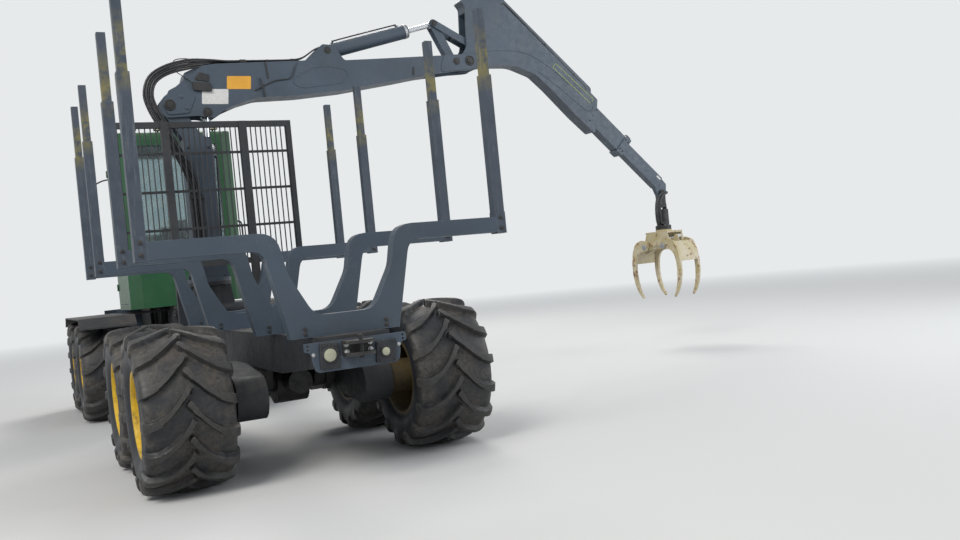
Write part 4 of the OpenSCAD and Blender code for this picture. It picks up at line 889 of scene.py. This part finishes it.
def gland(base, way, distance, rod_radius, radius, length=0.06):
    """Ring with a chamfer and a seal groove at a barrel's mouth, a distance from its base eye."""
    profile = [(rod_radius, length), (0.86 * radius, length), (0.94 * radius, 0.9 * length),
               (0.94 * radius, 0.7 * length), (radius, 0.62 * length), (radius, 0), (rod_radius, 0)]
    return turned(spun(profile, 48, closed=True), aimed(way), base + distance * way)


def barrel_pipe(base, way, ports, out, radius=0.01):
    """Steel pipe beside a barrel between two ports, held off it, with the ports' fittings."""
    off = np.cross(way, AHEAD) * np.sign(out)
    first, last = ports
    gap = abs(out)
    path = [(first, gap - 0.01), (first + 0.02, gap + 0.022), (first + 0.09, gap + 0.03),
            (last - 0.09, gap + 0.03), (last - 0.02, gap + 0.022), (last, gap - 0.01)]
    run = tube([base + along * way + height * off for along, height in path], radius, 10, 40)
    feet = [base + port * way + (gap - 0.012) * off for port in ports]
    return [run, *(bar(foot, foot + 0.028 * off, 2.0 * radius, 6) for foot in feet)]


# Cylinder: its two pins, mouth's distance from the base eye, radii of rod and gland, ports, pipe's side
for name, base, aim, mouth, rod_radius, gland_radius, ports, out in (
    ("lift", (0.075, 2.0), (0.15, 3.83), 1.385, 0.049, 0.086, (0.16, 1.3), -0.082),
    ("jib", (1.79, 4.64), (3.43, 5.075), 1.225, 0.045, 0.099, (0.16, 1.16), 0.095),
):
    way = (crane(*aim) - crane(*base)) / math.dist(aim, base)
    piece(f"{name}_gland", gland(crane(*base), way, mouth, rod_radius, gland_radius), STEEL, f"{name}_barrel")
    piece(f"{name}_pipe", barrel_pipe(crane(*base), way, ports, out), SLATE_DARK, f"{name}_barrel")

# Boom tip, rotator and grapple

along_slide = np.array([SLIDE[0], 0, SLIDE[1]])
SLIDE_AXES = np.stack([along_slide, AHEAD, np.cross(along_slide, AHEAD)], 1)
heads = [on_slide(along, out, rear_face("extension_1")) for along in (0.63, 0.69) for out in (-0.09, 0.09)]
piece("collar_parts", [
    both_sides(bolts(heads, BACK, 0.011)),
    turned(slab(pane(0.1, 0.12, 0.01), 0.05, 0.006), SLIDE_AXES, on_slide(0.66, 0.152, 0.0)),
    bolts([on_slide(0.66, 0.202, side) for side in (-0.03, 0.03)], SLIDE_AXES[:, 2], 0.01),
], IRON, "extension_1")
TIP_SIGN = [(7.12, 2.735), (7.185, 2.675), (7.205, 2.697), (7.14, 2.757)]
piece("tip_plate", sign_plate(TIP_SIGN, crane(0, 0, rear_face("extension_2")), 0.006), WHITE, "extension_2")
caps("tip_pins", "tip_link", [(7.2181, 2.4718, rear_face("tip_link") + 0.001, 0.044)])
SLEEVE = [(7.205, 2.47, -0.096), (7.11, 2.435, -0.13), (7.03, 2.36, -0.15), (6.995, 2.234, -0.152),
          (6.992, 2.08, -0.146), (7.03, 1.99, -0.115), (7.118, 1.978, -0.062)]
for index, shift in enumerate((0.0, 0.062)):
    run = np.array([crane(*row) for row in SLEEVE]) + [shift, -0.15 * shift, 0]
    hose(f"tip_hose_{index + 1}", run, 0.024,
         110, 14, ribs=0.07)
foot = np.array(JOINTS["rotate"]["pos_m"])
piece("rotator_bolts", [
    bolt_ring(foot + [0, 0, 0.06], UP, 0.112, 10, 0.01, 0.2),
    bar(foot + [0.09, 0, 0.13], foot + [0.125, 0, 0.13], 0.02, 6),
    bar(foot + [-0.09, 0, 0.105], foot + [-0.122, 0, 0.105], 0.018, 6),
], STEEL, "rotator")
PIN_END = spun([(0.046, 0), (0.046, 0.006), (0.038, 0.009), (0.012, 0.01)], 30)
PIN_HALF = 0.319
hinge_way = unit(np.array([*JOINTS["claws"]["axis"][:2], 0.0]))
piece("claw_pin_ends", [
    turned(PIN_END, aimed(way), np.array(JOINTS[name]["pos_m"]) + PIN_HALF * way)
    for name in ("claws", "claw_inner_turn") for way in (hinge_way, -hinge_way)
], STEEL, "grapple")

# Tail, stakes and centre joint

TAIL = place(0, -5.872, 0)
DOME = np.array([(1.0, 0), (1.0, 0.022), (0.9, 0.03), (0.6, 0.034), (0.25, 0.036)])
# Lamp plate: outline, middle and radius of its lens, places of its bolts across and up
TAIL_LAMPS = [
    ([(-0.299, 0.947), (-0.145, 0.941), (-0.146, 1.135), (-0.291, 1.143)], (-0.22, 1.048), 0.053,
     (-0.272, -0.222, -0.17), (1.118, 0.962)),
    ([(0.142, 0.939), (0.305, 0.933), (0.316, 1.112), (0.151, 1.106)], (0.222, 1.02), 0.035,
     (0.168, 0.292), (1.092, 0.955)),
]
plates, lenses = [], []
for outline, (x, z), radius, across, up in TAIL_LAMPS:
    middle = TAIL + [x, 0, z]
    ring = radius + 0.01
    profile = [(ring, 0), (ring, 0.026), (0.93 * ring, 0.032), (radius, 0.032), (radius, 0)]
    heads = [TAIL + [x, -0.024, z] for z in up for x in across]
    plates += [plate(outline, 0.012, 0.024, TAIL, 0.004),
               turned(spun(profile, 40, closed=True), aimed(BACK), middle), bolts(heads, BACK, 0.009)]
    lenses.append(turned(spun(DOME * [radius - 0.0005, 1], 36), aimed(BACK), middle))
piece("lamp_plates", plates, SLATE_DARK, "rear_unit")
piece("lamp_lenses", lenses, LENS, "rear_unit")
piece("hitch_nuts", [
    bolts([place(x, -5.914, z) for x in (-0.094, 0.094) for z in (1.052, 1.112)], BACK, 0.017),
    bolts([place(x, -5.874, 1.06) for x in (-0.34, 0.34)], BACK, 0.012),
], STEEL, "rear_unit")
BOLSTER_FACES = (-1.565, -2.655, -4.625, -5.685)
for name, out, heights, size in (("sleeve_bolts", 1.445, (1.9, 1.99), 0.014),
                                 ("bolster_bolts", 0.33, (1.21, 1.25), 0.013)):
    heads = [place(side * out, back, z) for back in BOLSTER_FACES for side in (-1, 1) for z in heights]
    piece(name, bolts(heads, BACK, size), IRON, "rear_unit")
piece("crane_base_bolts", [
    *(bolt_ring(crane(side * 0.43, 1.37, y), side * RIGHT, 0.062, 8, 0.012)
      for side in (-1, 1) for y in (-0.165, 0.165)),
    bolt_ring(crane(0, 1.675), -UP, 0.238, 16, 0.014, 0.1),
], IRON, "rear_unit")
collar = crane(0, corners("pillar")[0][2] + 0.045)
piece("pillar_bolts", bolt_ring(collar, UP, 0.236, 8, 0.015), IRON, "pillar")
piece("drive_shaft", [
    bar(place(0, -0.42, 0.8), place(0, -3.4, 0.7), 0.038, 24),
    bar(place(0, -0.42, 0.8), place(0, -0.54, 0.796), 0.062, 24),
    bar(place(0, -3.28, 0.705), place(0, -3.4, 0.701), 0.062, 24),
], IRON, "rear_unit")
# Hoses over the centre joint: spread, distance ahead and height
JOINT_RUN = [(1, -0.62, 1.2), (1, -0.5, 1.235), (1.25, -0.25, 1.275), (1.35, 0.0, 1.29),
             (1.25, 0.25, 1.275), (1, 0.5, 1.235), (1, 0.62, 1.2)]
for index, x in enumerate((-0.15, -0.09, 0.09, 0.15)):
    run = [place(spread * x, y, z) for spread, y, z in JOINT_RUN]
    hose(f"joint_hose_{index + 1}", run, 0.013,
         32)

# Front unit


def work_lamp(spot, way):
    """Lamp body with cooling ribs behind, on a foot, and its lens as a second shape."""
    outline = pane(0.12, 0.09, 0.018)
    face = np.stack([np.cross(UP, way), UP, way], 1)
    rib = slab(outline * [0.88, 0.8], 0.006, 0.001)
    ribs = [turned(rib, face, spot - distance * way) for distance in (0.012, 0.024, 0.036)]
    foot = bar(spot - 0.075 * UP, spot - 0.03 * UP, 0.012, 12)
    lens = turned(slab(outline * 0.86, 0.006, 0.002), face, spot + 0.058 * way)
    return joined(turned(slab(outline, 0.06, 0.005), face, spot), *ribs, foot), lens


ROOF_Z = corners("cab_shell")[1][2] + 0.068
lamps = [work_lamp(place(x, y, ROOF_Z), way) for y, way in ((0.96, BACK), (1.86, AHEAD))
         for x in (-0.55, -0.2, 0.2, 0.55)]
piece("roof_lamps", [body for body, _ in lamps], PLASTIC, "front_unit")
piece("roof_lamp_lenses", [lens for _, lens in lamps], LENS, "front_unit")

MIRROR = pane(0.17, 0.3, 0.035)
MIRROR_ARM = [(0.66, 2.3, 3.42), (0.85, 2.4, 3.4), (1.02, 2.46, 3.3), (1.02, 2.46, 3.2)]
shells, panes = [], []
for side in (-1, 1):
    spot = place(side * 1.02, 2.42, 3.1)
    arm = tube([place(side * x, y, z) for x, y, z in MIRROR_ARM], 0.011, 12, 20, AHEAD * 0.8 + RIGHT * 0.3)
    shells += [turned(slab(MIRROR, 0.045, 0.012), np.stack([-RIGHT, UP, AHEAD], 1), spot), arm]
    panes.append(turned(slab(MIRROR * 0.88, 0.003, 0.001), BACKWARD, spot))
piece("mirror_shells", shells, PLASTIC, "front_unit")
piece("mirror_glass", panes, CHROME, "front_unit")

HOOD_RAIL = [(2.62, 2.47), (2.64, 2.535), (2.8, 2.56), (3.3, 2.5), (3.36, 2.47), (3.38, 2.4)]
rails = [tube([place(x, *spot) for spot in HOOD_RAIL], 0.013, 12, 40, RIGHT) for x in (-0.5, 0.5)]
piece("hood_rails", rails, PLASTIC, "hood")
STACK = [(0.052, 0), (0.052, 0.16), (0.06, 0.17), (0.06, 0.19), (0.04, 0.2), (0.04, 0.33), (0.034, 0.33),
         (0.03, 0.25)]
piece("exhaust", moved(spun(STACK, 36), place(0.36, 2.66, 2.4)), STEEL, "hood")
piece("door_handle", [
    *(bar(place(-0.806, y, 2.05), place(-0.83, y, 2.05), 0.012) for y in (1.26, 1.42)),
    bar(place(-0.83, 1.24, 2.05), place(-0.83, 1.44, 2.05), 0.01),
], PLASTIC, "cab_door")
GRAB_RAIL = [(0.8, 1.75), (0.85, 1.78), (0.86, 1.95), (0.86, 2.4), (0.85, 2.55), (0.8, 2.58)]
piece("grab_rail", tube([place(x, 1.05, z) for x, z in GRAB_RAIL], 0.013, 12, 36), PLASTIC, "front_unit")

# Operator's seat


def cushion(size, crown=0.9, pull=0.05, count=25):
    """Crowned closed pad about zero, in shares of its size. With u and v from -1 to 1, its top rises by
    crown * ((1 - u**4) * (1 - v**4)) ** 0.4 and its underside falls by 0.6 of that. The edges at u = -1
    and 1 are drawn in by pull * (1 - v**2), and the other two likewise. Three sewn channels cross it:
    along v = -0.4, 0 and 0.4 the thickness falls by 0.22 of itself."""
    steps = np.sin(np.linspace(-1, 1, count) * np.pi / 2)
    u, v = np.meshgrid(steps, steps, indexing="ij")
    thick = crown * (np.clip((1 - u**4) * (1 - v**4), 0, 1)) ** 0.4
    for line in (-0.4, 0.0, 0.4):
        thick = thick * (1 - 0.22 * np.exp(-(((v - line) / 0.05) ** 2)))
    x = u * (1 - pull * (1 - v**2) * u**4)
    y = v * (1 - pull * (1 - u**2) * v**4)
    grid = quads(np.arange(count * count).reshape(count, count))
    top, under = (np.stack([x, y, share * thick], -1).reshape(-1, 3) * size for share in (1.0, -0.6))
    return joined((top, [grid]), (under, [grid[:, ::-1]]))


seat_low = corners("seat")[0]
SEAT = np.array([CENTRE[0], seat_low[1] + 0.29, seat_low[2]])
lean = math.radians(6.5)
up_back = np.array([0, -math.sin(lean), math.cos(lean)])
LEANT = np.stack([RIGHT, up_back, np.cross(RIGHT, up_back)], 1)
for name, size, axes, spot, stands_for in (
    ("seat_cushion", (0.255, 0.245, 0.075), np.eye(3), (0, 0.01, 0.365), ["seat"]),
    ("seat_back", (0.235, 0.33, 0.062), LEANT, (0, -0.19, 0.745), []),
    ("head_rest", (0.13, 0.085, 0.05), LEANT, (0, -0.235, 1.075), []),
):
    shape = turned(cushion(size), axes, SEAT + spot)
    pad = piece(name, shape, FABRIC, "front_unit", smooth=80.0, stands_for=stands_for)
POST = [(0.15, 0), (0.15, 0.02), (0.08, 0.035), (0.075, 0.06), (0.11, 0.08), (0.095, 0.11),
        (0.11, 0.14), (0.095, 0.17), (0.11, 0.2), (0.09, 0.225), (0.18, 0.25), (0.18, 0.29),
        (0.15, 0.3)]
KNOB = [(0.01, 0), (0.022, 0.02), (0.025, 0.05), (0.02, 0.08), (0.008, 0.09)]
seat_parts = [spun(POST, 40), block((-0.22, -0.21, 0.295), (0.22, 0.22, 0.325), 0.006, 0.03)]
for side in (-1, 1):
    x = side * 0.33
    seat_parts += [
        block((x - 0.06, -0.115, 0.43), (x + 0.06, 0.325, 0.5), 0.014, 0.04),
        block((x - 0.022, -0.08, 0.3), (x + 0.022, -0.02, 0.435), 0.006),
        block((x, -0.08, 0.298), (side * 0.2, -0.02, 0.322), 0.005),
        bar((x, 0.265, 0.495), (x, 0.272, 0.565), 0.012),
        moved(spun(KNOB, 24), (x, 0.272, 0.56)),
    ]
piece("seat_base", moved(joined(*seat_parts), SEAT), PLASTIC, "front_unit")


# Camera, light and floor

PHOTO_WIDTH = 960
FOCAL_PIXELS = 928.2975
CAMERA_SPOT = (-2.3376, -12.5409, 1.6099)
YAW, PITCH, ROLL = (math.radians(angle) for angle in (27.2997, -0.3516, 5.5611))
BACKGROUND = (0.8, 0.82, 0.83, 1)
FLOOR_REACH = 90.0


def make_camera():
    """Camera of the photograph: position from the centre joint, yaw to the right of ahead, pitch, roll."""
    data = bpy.data.cameras.new("camera")
    data.sensor_width = 36.0
    data.lens = FOCAL_PIXELS * data.sensor_width / PHOTO_WIDTH
    camera = in_scene("camera", data)
    angles = ((-YAW, "Z"), (math.pi / 2 + PITCH, "X"), (-ROLL, "Z"))
    yawed, pitched, rolled = (Matrix.Rotation(angle, 4, axis) for angle, axis in angles)
    camera.matrix_world = Matrix.Translation(Vector(place(*CAMERA_SPOT))) @ yawed @ pitched @ rolled
    bpy.context.scene.camera = camera


def shown_as(tree, kind, lit, share, out):
    """Ends a tree in what lit gives, and by a share in the plain background where a ray shows it: to the
    camera, in a mirror or through glass."""
    rays = tree.add("ShaderNodeLightPath").outputs
    mirrored = tree.math("MAXIMUM", rays["Is Glossy Ray"], rays["Is Transmission Ray"])
    seen = tree.times(tree.math("MAXIMUM", rays["Is Camera Ray"], mirrored), share)
    plain = tree.add(kind, {"Color": BACKGROUND, "Strength": 1.0})
    mixed = tree.add("ShaderNodeMixShader", {0: seen, 1: lit.outputs[0], 2: plain.outputs[0]})
    tree.feed(tree.find(out), {"Surface": mixed.outputs[0]})


def make_floor():
    """Pale floor that passes into the background's colour far from the machine."""
    mesh = bpy.data.meshes.new("floor")
    square = np.array([(-1, -1, 0), (1, -1, 0), (1, 1, 0), (-1, 1, 0)]) * FLOOR_REACH
    mesh.from_pydata(square.tolist(), [], [(0, 1, 2, 3)])
    finish = Finish("pale floor", (0.6, 0.6, 0.59, 1))
    mesh.materials.append(finish.done(0.9))
    away = finish.add("ShaderNodeVectorMath", {0: finish.spot()}, operation="LENGTH").outputs["Value"]
    shown_as(finish, "ShaderNodeEmission", finish.find("BSDF_PRINCIPLED"), finish.ramp(away, 9.0, 34.0),
             "OUTPUT_MATERIAL")
    in_scene("floor", mesh)


def make_surroundings():
    """Pale surroundings and soft lamps."""
    world = bpy.data.worlds.new("studio")
    bpy.context.scene.world = world
    world.use_nodes = True
    tree = Tree(world.node_tree)
    light = tree.find("BACKGROUND")
    tree.feed(light, {"Color": (0.86, 0.91, 1.0, 1), "Strength": 0.48})
    shown_as(tree, "ShaderNodeBackground", light, 1.0, "OUTPUT_WORLD")
    middle = Vector(place(2.5, -1.0, 2.0))
    for name, spot, size, power, colour in (
        ("key", (-9, -12, 13), 7.0, 2100, (1.0, 0.97, 0.92)),
        ("fill", (14, -9, 7), 8.0, 850, (0.92, 0.96, 1.0)),
        ("rim", (8, 10, 14), 7.0, 1700, (1.0, 0.98, 0.94)),
    ):
        data = bpy.data.lights.new(name, "AREA")
        data.size, data.energy, data.color = size, power, colour
        lamp = in_scene(name, data)
        lamp.location = place(*spot)
        lamp.rotation_euler = (middle - lamp.location).to_track_quat("-Z", "Y").to_euler()


make_camera()
make_floor()
make_surroundings()
bpy.context.scene.view_settings.view_transform = "Standard"
